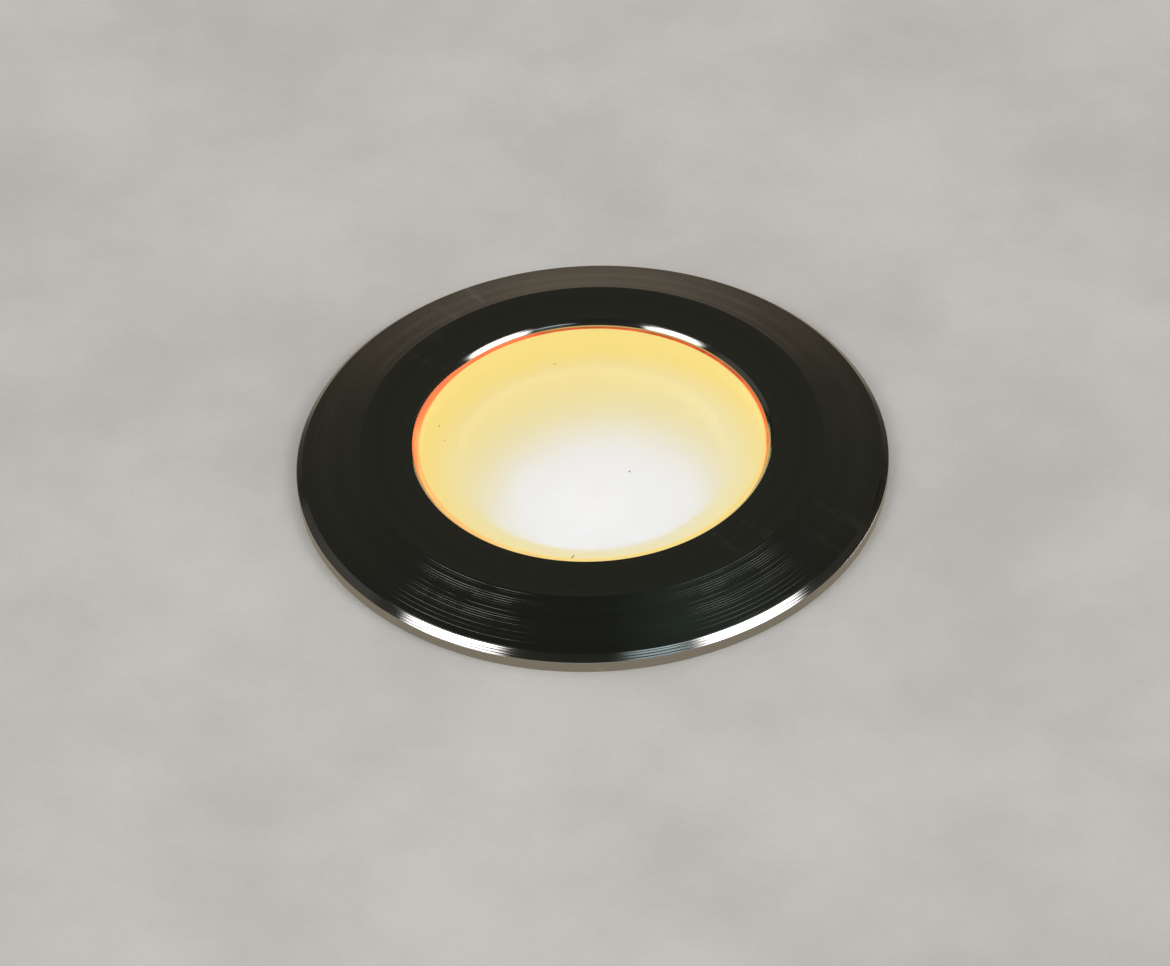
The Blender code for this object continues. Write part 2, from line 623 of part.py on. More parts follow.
def pan_screw(name, length, seat):
    """A slotted pan-head screw that points up. The underside of its head is at the seat point."""
    bevel = SCREW_HEAD_HEIGHT / 3
    screw = turned(name, [
        (0, -SCREW_HEAD_HEIGHT),
        (SCREW_HEAD_RADIUS - bevel, -SCREW_HEAD_HEIGHT),
        (SCREW_HEAD_RADIUS, bevel - SCREW_HEAD_HEIGHT),
        (SCREW_HEAD_RADIUS, 0),
        (SCREW_RADIUS, 0),
        (SCREW_RADIUS, length),
        (0, length),
    ], PLATED_STEEL, SCREW_FACETS)
    slot_size = (2 * SCREW_HEAD_RADIUS + OVERRUN, SCREW_SLOT_WIDTH, 2 * SCREW_SLOT_DEPTH)
    slot = box(f"cut_{name}_slot", slot_size, (0, 0, -SCREW_HEAD_HEIGHT), None)
    screw.location = seat
    slot.location = seat
    cut(screw, slot)


def add_spreader_screws():
    """Three screws that clamp the heat spreader to the bezel's neck."""
    length = SEAT_GAP + SPREADER_THICKNESS + SEAT_GAP + SPREADER_SCREW_BITE
    for number, angle in enumerate(CLIP_ANGLES):
        seat = around(SPREADER_SCREW_REACH, angle, SPREADER_BOTTOM - SEAT_GAP)
        pan_screw(f"spreader_screw_{number + 1}", length, seat)


def smooth_route(points):
    """A Catmull-Rom curve through a wire's route points."""
    ends = [points[0] * 2 - points[1], *points, points[-1] * 2 - points[-2]]
    route = []
    for k in range(1, len(ends) - 2):
        before, start, end, after = ends[k - 1:k + 3]
        for step in range(WIRE_STEPS):
            t = step / WIRE_STEPS
            route.append(0.5 * (
                2 * start + (end - before) * t
                + (2 * before - 5 * start + 4 * end - after) * t ** 2
                + (3 * start - before - 3 * end + after) * t ** 3))
    return [*route, points[-1]]


def add_wire(name, side, material):
    """A lead wire from the light engine's pad, through the grommet, to the driver board."""
    on_board = LED_BOARD_TOP + SEAT_GAP + WIRE_RADIUS
    inward = WIRE_HOLE_REACH - WIRE_SPACING
    beside = side * WIRE_SPACING / 2
    over_edge = side * (WIRE_HOLE_RADIUS + SEAT_GAP)
    landing = side * WIRE_LANDING_OFFSET
    fall = STANDOFF_TOP - DRIVER_TOP
    stops = [
        (inward, side * WIRE_PAD_OFFSET, on_board),
        (inward + WIRE_SPACING / 2, over_edge, on_board + WIRE_RADIUS),
        (WIRE_HOLE_REACH, beside, LED_BOARD_TOP - 2 * WIRE_RADIUS),
        (WIRE_HOLE_REACH, beside, SPREADER_TOP - WIRE_RADIUS),
        (WIRE_HOLE_REACH, beside, SPREADER_BOTTOM),
        (WIRE_HOLE_REACH, beside, STANDOFF_TOP - fall / 5),
        (WIRE_HOLE_REACH, (beside + landing) / 2, STANDOFF_TOP - fall / 2),
        (inward, landing, DRIVER_TOP + fall / 4),
        (inward, landing, DRIVER_TOP + SEAT_GAP),
    ]
    line = bpy.data.curves.new(name, "CURVE")
    line.dimensions = "3D"
    line.bevel_depth = WIRE_RADIUS
    line.bevel_resolution = 2
    line.use_fill_caps = True
    route = smooth_route([Vector(stop) for stop in stops])
    spline = line.splines.new("POLY")
    spline.points.add(len(route) - 1)
    for point, place in zip(spline.points, route):
        point.co = (*place, 1)
    line.materials.append(material)
    wire = bpy.data.objects.new(name, line)
    bpy.context.scene.collection.objects.link(wire)


def add_standoffs():
    """Hexagonal posts that carry the driver board, and the screws under it."""
    for number, angle in enumerate(SCREW_ANGLES):
        hexagon = polygon(STANDOFF_RADIUS, 6)
        post = prism(f"standoff_{number + 1}", hexagon, STANDOFF_BOTTOM, STANDOFF_TOP, BRASS)
        stud = cylinder(
            f"join_stud_{number + 1}", SCREW_RADIUS, (0, 0, STANDOFF_TOP - OVERRUN),
            (0, 0, SPREADER_BOTTOM + STUD_LENGTH))
        tapped = cylinder(
            f"cut_standoff_{number + 1}", SCREW_RADIUS + SCREW_GAP, (0, 0, STANDOFF_BOTTOM - OVERRUN),
            (0, 0, DRIVER_BOTTOM - SEAT_GAP + STANDOFF_SCREW_LENGTH + SCREW_GAP))
        for piece in (post, stud, tapped):
            piece.location = around(STANDOFF_REACH, angle, 0)
        fuse(post, stud)
        cut(post, tapped)
        seat = around(STANDOFF_REACH, angle, DRIVER_BOTTOM - SEAT_GAP)
        pan_screw(f"standoff_screw_{number + 1}", STANDOFF_SCREW_LENGTH, seat)


def add_driver():
    """The driver board and the components on both of its faces."""
    board = plate("driver_board", DRIVER_BOARD_RADIUS, DRIVER_BOTTOM, DRIVER_TOP, GREEN_MASK)
    cut(board, upright_holes(
        "cut_board_screw_holes", SCREW_RADIUS + SCREW_GAP, STANDOFF_REACH, SCREW_ANGLES,
        DRIVER_BOTTOM - OVERRUN, DRIVER_TOP + OVERRUN))
    floor = DRIVER_TOP + SEAT_GAP
    edge = CAPACITOR_RADIUS / 8
    capacitor = turned("driver_capacitor", [
        (0, floor),
        (CAPACITOR_RADIUS - edge, floor),
        (CAPACITOR_RADIUS, floor + edge),
        (CAPACITOR_RADIUS, floor + CAPACITOR_HEIGHT - edge),
        (CAPACITOR_RADIUS - edge, floor + CAPACITOR_HEIGHT),
        (0, floor + CAPACITOR_HEIGHT),
    ], CAPACITOR_SLEEVE, SMALL_FACETS)
    capacitor.location = (*CAPACITOR_PLACE, 0)
    shoulder = floor + INDUCTOR_FLANGE
    top = floor + INDUCTOR_HEIGHT
    core = turned("inductor_core", [
        (0, floor),
        (INDUCTOR_RADIUS, floor),
        (INDUCTOR_RADIUS, shoulder),
        (INDUCTOR_CORE_RADIUS, shoulder),
        (INDUCTOR_CORE_RADIUS, top - INDUCTOR_FLANGE),
        (INDUCTOR_RADIUS, top - INDUCTOR_FLANGE),
        (INDUCTOR_RADIUS, top),
        (0, top),
    ], FERRITE, SMALL_FACETS)
    winding_bore = INDUCTOR_CORE_RADIUS + SEAT_GAP
    winding = ring("inductor_winding", winding_bore, winding_bore + WINDING_THICKNESS, shoulder + SEAT_GAP,
                   top - INDUCTOR_FLANGE - SEAT_GAP, COPPER, SMALL_FACETS)
    core.location = winding.location = (*INDUCTOR_PLACE, 0)
    box("driver_rectifier", RECTIFIER_SIZE, (*RECTIFIER_PLACE, floor + RECTIFIER_SIZE[2] / 2), EPOXY)
    box("driver_chip", CHIP_SIZE, (0, 0, floor + CHIP_SIZE[2] / 2), EPOXY)


def add_terminal_block():
    """Two-way terminal block under the driver board, its wire ways facing the gland."""
    depth, height = TERMINAL_SIZE[1:]
    middle = TERMINAL_TOP - height / 2
    block = box("terminal_block", TERMINAL_SIZE, (0, 0, middle), TERMINAL_GREEN)
    ways, sockets = [], []
    face = -depth / 2
    screw_end = face + TERMINAL_SCREW_LENGTH
    for number, side in enumerate((-1, 1)):
        x = side * TERMINAL_PITCH / 2
        ways.append(cylinder(
            f"way_{number}", TERMINAL_BORE, (x, 0, TERMINAL_BOTTOM - OVERRUN),
            (x, 0, TERMINAL_BOTTOM + TERMINAL_BORE_DEPTH)))
        sockets.append(cylinder(
            f"socket_{number}", TERMINAL_SCREW_RADIUS + SCREW_GAP, (x, face - OVERRUN, middle),
            (x, screw_end + SCREW_GAP, middle)))
        screw = cylinder(
            f"terminal_screw_{number + 1}", TERMINAL_SCREW_RADIUS, (x, face, middle),
            (x, screw_end, middle), PLATED_STEEL)
        slot_size = (2 * TERMINAL_SCREW_RADIUS + OVERRUN, 2 * SCREW_SLOT_DEPTH, SCREW_SLOT_WIDTH)
        cut(screw, box(f"cut_terminal_slot_{number + 1}", slot_size, (x, face, middle), None))
    cut(block, combine("cut_wire_ways", ways))
    cut(block, combine("cut_screw_sockets", sockets))


def add_housing():
    """Closed can with cooling grooves, flats for the springs and holes for the set screws."""
    profile = [
        (GLAND_RADIUS + SEAT_GAP, HOUSING_BOTTOM),
        (HOUSING_RADIUS - HOUSING_EDGE, HOUSING_BOTTOM),
        (HOUSING_RADIUS, HOUSING_BOTTOM + HOUSING_EDGE),
    ]
    for k in range(FIN_COUNT):
        bottom = HOUSING_BOTTOM + FIN_RISE + k * FIN_PITCH
        profile += [
            (HOUSING_RADIUS, bottom),
            (HOUSING_RADIUS - FIN_DEPTH, bottom),
            (HOUSING_RADIUS - FIN_DEPTH, bottom + FIN_GROOVE),
            (HOUSING_RADIUS, bottom + FIN_GROOVE),
        ]
    profile += [
        (HOUSING_RADIUS, SLEEVE_TOP),
        (HOUSING_INNER, SLEEVE_TOP),
        (HOUSING_INNER, HOUSING_INNER_BOTTOM),
        (GLAND_RADIUS + SEAT_GAP, HOUSING_INNER_BOTTOM),
    ]
    housing = turned("housing", profile, ANODISED)
    flat_top = CLIP_TAB / 2 - CLIP_DROP + 2 * CLIP_GAP
    flat_bottom = -CLIP_DROP - CLIP_TAB / 2 - CLIP_LENGTH - 2 * CLIP_GAP
    flats = [
        radial_box(f"flat_{angle}", CLIP_SEAT, HOUSING_RADIUS + OVERRUN, HOUSING_RADIUS, flat_bottom,
                   flat_top, angle)
        for angle in CLIP_ANGLES]
    cut(housing, combine("cut_clip_flats", flats))
    inner, outer = HOUSING_INNER - OVERRUN, HOUSING_RADIUS + OVERRUN
    drills = [
        radial_cylinder(f"rivet_drill_{angle}", RIVET_RADIUS + SCREW_GAP, inner, outer, angle, -CLIP_DROP)
        for angle in CLIP_ANGLES]
    drills += [
        radial_cylinder(f"screw_drill_{angle}", SET_SCREW_RADIUS + SCREW_GAP, inner, outer, angle,
                        SET_SCREW_LEVEL)
        for angle in SCREW_ANGLES]
    cut(housing, combine("cut_housing_holes", drills))


def add_set_screws():
    """Three socket set screws through the housing into the bezel's neck."""
    outer = HOUSING_RADIUS - SCREW_GAP
    inner = outer - SET_SCREW_LENGTH
    for number, angle in enumerate(SCREW_ANGLES):
        screw = radial_cylinder(
            f"bezel_set_screw_{number + 1}", SET_SCREW_RADIUS, inner, outer, angle, SET_SCREW_LEVEL,
            PLATED_STEEL)
        socket = radial_cylinder(
            f"cut_socket_hex_{number + 1}", SET_SOCKET_RADIUS, outer - SET_SOCKET_DEPTH, outer + OVERRUN,
            angle, SET_SCREW_LEVEL, None, 6)
        cut(screw, socket)


def clip_centreline():
    """The leaf's bent line, as (distance from the axis, level below the rivet) points."""
    face = CLIP_SEAT + CLIP_GAP + CLIP_THICKNESS / 2
    widest = math.sqrt(SLEEVE_INNER ** 2 - (CLIP_WIDTH / 2) ** 2) - SEAT_GAP - CLIP_THICKNESS / 2
    line = [(face, CLIP_TAB / 2), (face, -CLIP_TAB / 2)]
    for k in range(1, CLIP_POINTS + 1):
        share = k / CLIP_POINTS
        bow = (widest - face) * math.sin(math.radians(90) * share / CLIP_APEX_SHARE)
        line.append((face + bow, -CLIP_TAB / 2 - CLIP_LENGTH * share))
    return line


def add_clip(number, angle):
    """A leaf spring, on a parent empty at the line it flexes about, and its rivet."""
    line = [Vector((x, 0, z)) for x, z in clip_centreline()]
    pivot = Vector((line[0].x, 0, 0))
    outer, inner = [], []
    for k, point in enumerate(line):
        before, after = line[max(k - 1, 0)], line[min(k + 1, len(line) - 1)]
        along = (after - before).normalized()
        across = Vector((-along.z, 0, along.x)) * CLIP_THICKNESS / 2
        outer.append(point + across - pivot)
        inner.append(point - across - pivot)
    work = bmesh.new()
    outline = [work.verts.new((p.x, -CLIP_WIDTH / 2, p.z)) for p in outer + inner[::-1]]
    face = work.faces.new(outline)
    raised = bmesh.ops.extrude_face_region(work, geom=[face])["geom"]
    moved = [part for part in raised if isinstance(part, bmesh.types.BMVert)]
    bmesh.ops.translate(work, verts=moved, vec=(0, CLIP_WIDTH, 0))
    clip = add_object(f"spring_clip_{number}", work, SPRING_STEEL)
    hinge = bpy.data.objects.new(f"clip_hinge_{number}", None)
    bpy.context.scene.collection.objects.link(hinge)
    hinge.location = around(pivot.x, angle, -CLIP_DROP)
    hinge.rotation_euler.z = math.radians(angle)
    clip.parent = hinge
    reach = CLIP_THICKNESS + CLIP_GAP
    hole = cylinder(f"cut_clip_hole_{number}", RIVET_RADIUS + CLIP_GAP, (-reach, 0, 0), (reach, 0, 0))
    hole.parent = hinge
    cut(clip, hole)
    head_seat = pivot.x + CLIP_THICKNESS / 2 + CLIP_GAP
    shank = radial_cylinder(
        f"clip_rivet_{number}", RIVET_RADIUS, HOUSING_INNER + SCREW_GAP, head_seat + RIVET_HEAD_HEIGHT / 2,
        angle, -CLIP_DROP, PLATED_STEEL)
    head = radial_cylinder(
        f"join_rivet_head_{number}", RIVET_HEAD_RADIUS, head_seat, head_seat + RIVET_HEAD_HEIGHT,
        angle, -CLIP_DROP)
    fuse(shank, head)


def add_gland():
    """Cable gland in the housing's bottom: body, sealing ring, locknut, seal and cap."""
    body = turned("gland_body", [
        (GLAND_BORE, GLAND_BARREL_BOTTOM),
        (GLAND_BARREL_RADIUS, GLAND_BARREL_BOTTOM),
        (GLAND_BARREL_RADIUS, GLAND_HEX_BOTTOM + OVERRUN),
        (GLAND_RADIUS, GLAND_HEX_BOTTOM + OVERRUN),
        (GLAND_RADIUS, GLAND_TOP),
        (GLAND_BORE, GLAND_TOP),
    ], GLAND_NYLON, SMALL_FACETS)
    hexagon = polygon(GLAND_HEX_RADIUS, 6)
    collar = prism("join_gland_hex", hexagon, GLAND_HEX_BOTTOM, GLAND_HEX_TOP, None)
    cut(collar, cylinder(
        "cut_gland_hex_bore", (GLAND_BORE + GLAND_BARREL_RADIUS) / 2, (0, 0, GLAND_HEX_BOTTOM - OVERRUN),
        (0, 0, GLAND_HEX_TOP + OVERRUN)))
    fuse(body, collar)
    ring_inner = GLAND_RADIUS + SEAT_GAP
    ring("gland_sealing_ring", ring_inner, ring_inner + GLAND_RING_WIDTH,
         GLAND_RING_TOP - GLAND_RING_THICKNESS, GLAND_RING_TOP, BLACK_RUBBER, SMALL_FACETS)
    nut = prism("gland_locknut", polygon(GLAND_HEX_RADIUS, 6, 30), LOCKNUT_BOTTOM, LOCKNUT_TOP, BRASS)
    cut(nut, cylinder(
        "cut_locknut_bore", GLAND_RADIUS + SEAT_GAP, (0, 0, LOCKNUT_BOTTOM - OVERRUN),
        (0, 0, LOCKNUT_TOP + OVERRUN)))
    ring("gland_seal", GLAND_SEAL_BORE, CAP_BORE - SEAT_GAP, GLAND_SEAL_BOTTOM, GLAND_SEAL_TOP,
         GREY_SILICONE, SMALL_FACETS)
    cap = turned("gland_cap", [
        (CAP_HOLE_RADIUS, CAP_BOTTOM),
        (CAP_RADIUS - CAP_EDGE, CAP_BOTTOM),
        (CAP_RADIUS, CAP_BOTTOM + CAP_EDGE),
        (CAP_RADIUS, CAP_TOP),
        (CAP_BORE, CAP_TOP),
        (CAP_BORE, CAP_INNER_BOTTOM),
        (CAP_HOLE_RADIUS, CAP_INNER_BOTTOM),
    ], GLAND_NYLON, SMALL_FACETS)
    flute_reach = CAP_RADIUS + CAP_FLUTE_RADIUS - CAP_FLUTE_DEPTH
    flute_angles = [360 / CAP_FLUTE_COUNT * k for k in range(CAP_FLUTE_COUNT)]
    cut(cap, upright_holes(
        "cut_cap_flutes", CAP_FLUTE_RADIUS, flute_reach, flute_angles, CAP_BOTTOM + 2 * CAP_EDGE,
        CAP_TOP + OVERRUN, FLUTE_FACETS))


def add_sleeve():
    """The plastic sleeve that is cast into the floor, with ribs, an anchor ring, ports and drains."""
    sleeve = turned("mounting_sleeve", [
        (0, SLEEVE_BOTTOM),
        (SLEEVE_RADIUS, SLEEVE_BOTTOM),
        (SLEEVE_RADIUS, -ANCHOR_DROP - ANCHOR_THICKNESS),
        (SLEEVE_RADIUS + ANCHOR_WIDTH, -ANCHOR_DROP - ANCHOR_THICKNESS),
        (SLEEVE_RADIUS + ANCHOR_WIDTH, -ANCHOR_DROP),
        (SLEEVE_RADIUS, -ANCHOR_DROP),
        (SLEEVE_RADIUS, SLEEVE_TOP),
        (0, SLEEVE_TOP),
    ], SLEEVE_PLASTIC, WIDE_FACETS)
    rib_root = SLEEVE_RADIUS - SLEEVE_WALL / 2
    rib_bottom = SLEEVE_BOTTOM + SLEEVE_FLOOR / 2
    rib_angles = [360 / RIB_COUNT * (k + 1 / 2) for k in range(RIB_COUNT)]
    ribs = [
        radial_box(f"rib_{angle}", rib_root, SLEEVE_RADIUS + RIB_HEIGHT, RIB_WIDTH, rib_bottom,
                   -RIB_TOP_DROP, angle)
        for angle in rib_angles]
    fuse(sleeve, combine("join_ribs", ribs))
    port_end = SLEEVE_RADIUS + PORT_LENGTH
    port_angles = (PORT_ANGLE, PLUG_ANGLE)
    spigot_radius = PORT_BORE + PORT_WALL
    spigot_root = math.sqrt(SLEEVE_INNER ** 2 - spigot_radius ** 2)
    spigots = [
        radial_cylinder(f"spigot_{angle}", spigot_radius, spigot_root, port_end, angle, PORT_LEVEL,
                        None, SMALL_FACETS)
        for angle in port_angles]
    fuse(sleeve, combine("join_spigots", spigots))
    cut(sleeve, turned("cut_sleeve_room", [
        (0, SLEEVE_INNER_BOTTOM),
        (SLEEVE_INNER, SLEEVE_INNER_BOTTOM),
        (SLEEVE_INNER, SLEEVE_TOP - SLEEVE_LEAD_IN),
        (SLEEVE_INNER + SLEEVE_LEAD_IN, SLEEVE_TOP),
        (SLEEVE_INNER + SLEEVE_LEAD_IN, SLEEVE_TOP + OVERRUN),
        (0, SLEEVE_TOP + OVERRUN),
    ], None, WIDE_FACETS))
    bore_start = math.sqrt(SLEEVE_INNER ** 2 - PORT_BORE ** 2) - OVERRUN
    bores = [
        radial_cylinder(f"bore_{angle}", PORT_BORE, bore_start, port_end + OVERRUN, angle, PORT_LEVEL,
                        None, SMALL_FACETS)
        for angle in port_angles]
    cut(sleeve, combine("cut_port_bores", bores))
    drain_angles = [360 / DRAIN_COUNT * (k + 1 / 2) for k in range(DRAIN_COUNT)]
    cut(sleeve, upright_holes(
        "cut_drains", DRAIN_RADIUS, DRAIN_REACH, drain_angles, SLEEVE_BOTTOM - OVERRUN,
        SLEEVE_INNER_BOTTOM + OVERRUN))


def add_port_plug():
    """Push-in blanking plug in the port that is not used."""
    stem = PORT_BORE - SEAT_GAP
    head = PORT_BORE + PORT_WALL
    plug = turned("port_plug", [
        (0, PLUG_HEAD_THICKNESS),
        (0, 0),
        (stem - PLUG_WALL, 0),
        (stem - PLUG_WALL, -PLUG_DEPTH),
        (stem, -PLUG_DEPTH),
        (stem, 0),
        (head, 0),
        (head, PLUG_HEAD_THICKNESS),
    ], SLEEVE_PLASTIC, SMALL_FACETS)
    plug.location = around(SLEEVE_RADIUS + PORT_LENGTH + SEAT_GAP, PLUG_ANGLE, PORT_LEVEL)
    plug.rotation_euler = (math.radians(90), 0, math.radians(PLUG_ANGLE + 90))


def main():
    """Builds the light from the bezel down to the sleeve."""
    clear_scene()
    add_bezel()
    add_lens()
    add_lens_seals()
    add_reflector()
    add_light_engine()
    add_heat_spreader()
    add_spreader_screws()
    add_wire("lead_wire_red", 1, RED_PVC)
    add_wire("lead_wire_black", -1, BLACK_PVC)
    add_standoffs()
    add_driver()
    add_terminal_block()
    add_housing()
    add_set_screws()
    for number, angle in enumerate(CLIP_ANGLES):
        add_clip(number + 1, angle)
    add_gland()
    add_sleeve()
    add_port_plug()


main()
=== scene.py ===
"""Looks of a recessed floor light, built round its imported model.

Every piece that shows is modelled again at a finer grain than the solids, in metres and in the
same frame: the origin is on the lamp's axis at the level of the finished floor, and +Z points up.
So are the parts on the driver board. The other solids inside stay, in finishes of their own.
"""

import functools
import logging
import math
from dataclasses import dataclass
from enum import Enum
from typing import Callable, Iterable, Sequence

import bmesh
import bpy
from mathutils import Matrix, Vector


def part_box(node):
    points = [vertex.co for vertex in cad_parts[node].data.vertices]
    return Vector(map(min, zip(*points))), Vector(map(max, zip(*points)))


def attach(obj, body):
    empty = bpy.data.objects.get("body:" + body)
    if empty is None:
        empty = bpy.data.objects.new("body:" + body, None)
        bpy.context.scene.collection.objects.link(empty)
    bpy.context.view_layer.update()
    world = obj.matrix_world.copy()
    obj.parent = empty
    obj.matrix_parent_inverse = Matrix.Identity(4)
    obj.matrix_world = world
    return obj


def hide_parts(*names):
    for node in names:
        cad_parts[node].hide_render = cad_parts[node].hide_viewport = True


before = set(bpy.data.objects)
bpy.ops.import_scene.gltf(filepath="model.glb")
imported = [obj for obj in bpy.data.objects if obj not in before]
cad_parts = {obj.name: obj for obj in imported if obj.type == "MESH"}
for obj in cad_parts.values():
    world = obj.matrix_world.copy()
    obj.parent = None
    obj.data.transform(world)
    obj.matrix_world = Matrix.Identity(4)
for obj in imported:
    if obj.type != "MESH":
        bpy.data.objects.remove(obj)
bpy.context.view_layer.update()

log = logging.getLogger("floor_light")

PHOTO_WIDTH = 1170
SENSOR_WIDTH_MM = 36
CLIP_ANGLES = (270, 390, 510)
SCREW_ANGLES = (330, 450, 570)
FINEST = 256
FINE = 192
MEDIUM = 96
SMALL = 48
# How near two levels or radii count as the same
NEAR = 0.00002

# A ring of an outline: its radius and its height
Station = tuple[float, float]
# The two ends of a stretch along one line
Stretch = tuple[float, float]
# A place on the level of the floor: X and Y
Spot = tuple[float, float]
# Where a lamp stands: its azimuth from +X and its elevation, in degrees
Direction = tuple[float, float]
Colour = tuple[float, float, float]
# A colour and where it is reached, from 0 to 1
Stop = tuple[float, Colour]
Socket = bpy.types.NodeSocket
Piece = bpy.types.Object

# How much of a height counts for the turning marks, so that a 45 degree face has them too
RISE_SHARE = 0.4
DUST: Colour = (0.36, 0.33, 0.29)
METAL_DUST: Colour = (0.32, 0.30, 0.27)
GLASS_DUST: Colour = (0.72, 0.68, 0.60)
SPECK_TONE: Colour = (0.22, 0.10, 0.05)


class Element(Enum):
    """The kinds of mesh element that can be picked."""

    VERT = "VERT"
    EDGE = "EDGE"
    FACE = "FACE"


class Joining(Enum):
    """The ways of putting two shapes together."""

    WELD = "UNION"
    CARVE = "DIFFERENCE"


class Ends(Enum):
    """What closes a turned piece."""

    CAPPED = "capped"
    HOLLOW = "hollow"
    POINTED = "pointed"


@dataclass(frozen=True)
class Span:
    """How far a solid reaches: its radius about the axis, its bottom and its top."""

    radius: float
    bottom: float
    top: float

    @classmethod
    def of(cls, node: str) -> "Span":
        """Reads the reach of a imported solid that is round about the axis.

        Args:
            node: The solid's name.

        Returns:
            Its radius, bottom and top.
        """
        low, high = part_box(node)
        return cls(high.x, low.z, high.z)


def close_editing() -> None:
    """Leaves edit mode and deselects every object."""
    if bpy.context.mode != "OBJECT":
        bpy.ops.object.mode_set(mode="OBJECT")
    bpy.ops.object.select_all(action="DESELECT")


def activate(piece: Piece) -> None:
    """Makes one piece the only selected and the active object.

    Args:
        piece: The piece to work on.
    """
    close_editing()
    piece.select_set(True)
    bpy.context.view_layer.objects.active = piece


def open_editing(piece: Piece) -> None:
    """Opens one piece for editing, with nothing on it selected.

    Args:
        piece: The piece to edit.
    """
    activate(piece)
    bpy.ops.object.mode_set(mode="EDIT")
    bpy.ops.mesh.select_all(action="DESELECT")


def pick(piece: Piece, element: Element, test: Callable[[Vector], bool]) -> None:
    """Selects the elements of a piece in edit mode whose middle passes a test.

    Args:
        piece: The piece in edit mode.
        element: The kind of element.
        test: Takes the element's middle and says whether it is wanted.
    """
    bpy.ops.mesh.select_mode(type=element.value)
    bpy.ops.mesh.select_all(action="DESELECT")
    work = bmesh.from_edit_mesh(piece.data)
    if element is Element.FACE:
        for face in work.faces:
            face.select = test(face.calc_center_median())
    elif element is Element.EDGE:
        for edge in work.edges:
            edge.select = test((edge.verts[0].co + edge.verts[1].co) / 2)
    else:
        for vert in work.verts:
            vert.select = test(vert.co)
    work.select_flush_mode()
    bmesh.update_edit_mesh(piece.data)


def apply_place(piece: Piece, place: Vector = Vector(), turn: Vector = Vector()) -> Piece:
    """Moves a piece, then writes its place and turn into its mesh.

    Args:
        piece: The piece to place.
        place: Where its origin goes.
        turn: Its turn about X, Y and Z, in radians.

    Returns:
        The same piece, with its object at the origin.
    """
    activate(piece)
    piece.location += place
    if turn.length > 0:
        piece.rotation_euler = turn
    bpy.ops.object.transform_apply(location=True, rotation=True, scale=True)
    return piece


def name_piece(piece: Piece, name: str) -> Piece:
    """Gives a piece and its mesh one name.

    Args:
        piece: The piece to name.
        name: Its name.

    Returns:
        The same piece.
    """
    piece.name = name
    piece.data.name = name
    return piece


def turned(name: str, stations: Sequence[Station], facets: int = FINE,
           ends: Ends = Ends.HOLLOW) -> Piece:
    """Turns a piece about the Z axis: a circle is extruded and resized from station to station.

    Args:
        name: The piece's name.
        stations: Radius and height of each ring, in order along the outline.
        facets: How many sides the circle has.
        ends: HOLLOW joins the last ring to the first, CAPPED closes both ends with a face, and
            POINTED closes the last ring in a point and the first with a face.

    Returns:
        The piece, in object mode.
    """
    close_editing()
    radius, height = stations[0]
    bpy.ops.mesh.primitive_circle_add(
        vertices=facets, radius=radius, location=(0, 0, height), enter_editmode=True)
    piece = bpy.context.object
    for next_radius, next_height in stations[1:]:
        bpy.ops.mesh.extrude_edges_move(
            TRANSFORM_OT_translate={"value": (0, 0, next_height - height)})
        share = next_radius / radius
        bpy.ops.transform.resize(value=(share, share, 1), center_override=(0, 0, next_height))
        radius, height = next_radius, next_height
    if ends is Ends.POINTED:
        bpy.ops.mesh.merge(type="CENTER")
    bpy.ops.mesh.select_mode(type="EDGE")
    bpy.ops.mesh.select_all(action="DESELECT")
    bpy.ops.mesh.select_non_manifold(
        extend=False, use_wire=False, use_multi_face=False, use_non_contiguous=False,
        use_verts=False)
    if ends is Ends.HOLLOW:
        bpy.ops.mesh.bridge_edge_loops()
    else:
        bpy.ops.mesh.fill_holes(sides=0)
    bpy.ops.mesh.select_all(action="SELECT")
    bpy.ops.mesh.normals_make_consistent(inside=False)
    apply_place(piece)
    return name_piece(piece, name)


def spaced(stations: Sequence[Station], longest: float = 0.0025) -> list[Station]:
    """Puts more stations on long stretches of an outline, so that no face is much longer than wide.

    Args:
        stations: The outline.
        longest: The longest stretch that is left.

    Returns:
        The outline with the stations added.
    """
    filled = [stations[0]]
    for start, end in zip(stations, stations[1:]):
        count = max(1, math.ceil(math.dist(start, end) / longest))
        for k in range(1, count + 1):
            filled.append(tuple(a + (b - a) * k / count for a, b in zip(start, end)))
    return filled


def rod(name: str, radius: float, start: Vector, end: Vector, facets: int = SMALL) -> Piece:
    """A straight round or many-sided rod between two points.

    Args:
        name: The piece's name.
        radius: Its radius, to the corners.
        start: The middle of one end.
        end: The middle of the other end.
        facets: How many sides it has.

    Returns:
        The rod, in object mode.
    """
    close_editing()
    along = end - start
    bpy.ops.mesh.primitive_cylinder_add(
        vertices=facets, radius=radius, depth=along.length, location=(start + end) / 2,
        rotation=along.to_track_quat("Z", "Y").to_euler())
    return name_piece(apply_place(bpy.context.object), name)


def brick(name: str, size: Vector, middle: Vector, turn: float = 0.0) -> Piece:
    """A square block, which is turned about the lamp's axis.

    Args:
        name: The piece's name.
        size: Its length along X, Y and Z before it is turned.
        middle: Its middle before it is turned.
        turn: Its turn about the lamp's axis, in degrees.

    Returns:
        The block, in object mode.
    """
    close_editing()
    bpy.ops.mesh.primitive_cube_add(size=1, location=middle, scale=size)
    piece = apply_place(bpy.context.object)
    return name_piece(apply_place(piece, turn=about_z(turn)), name)


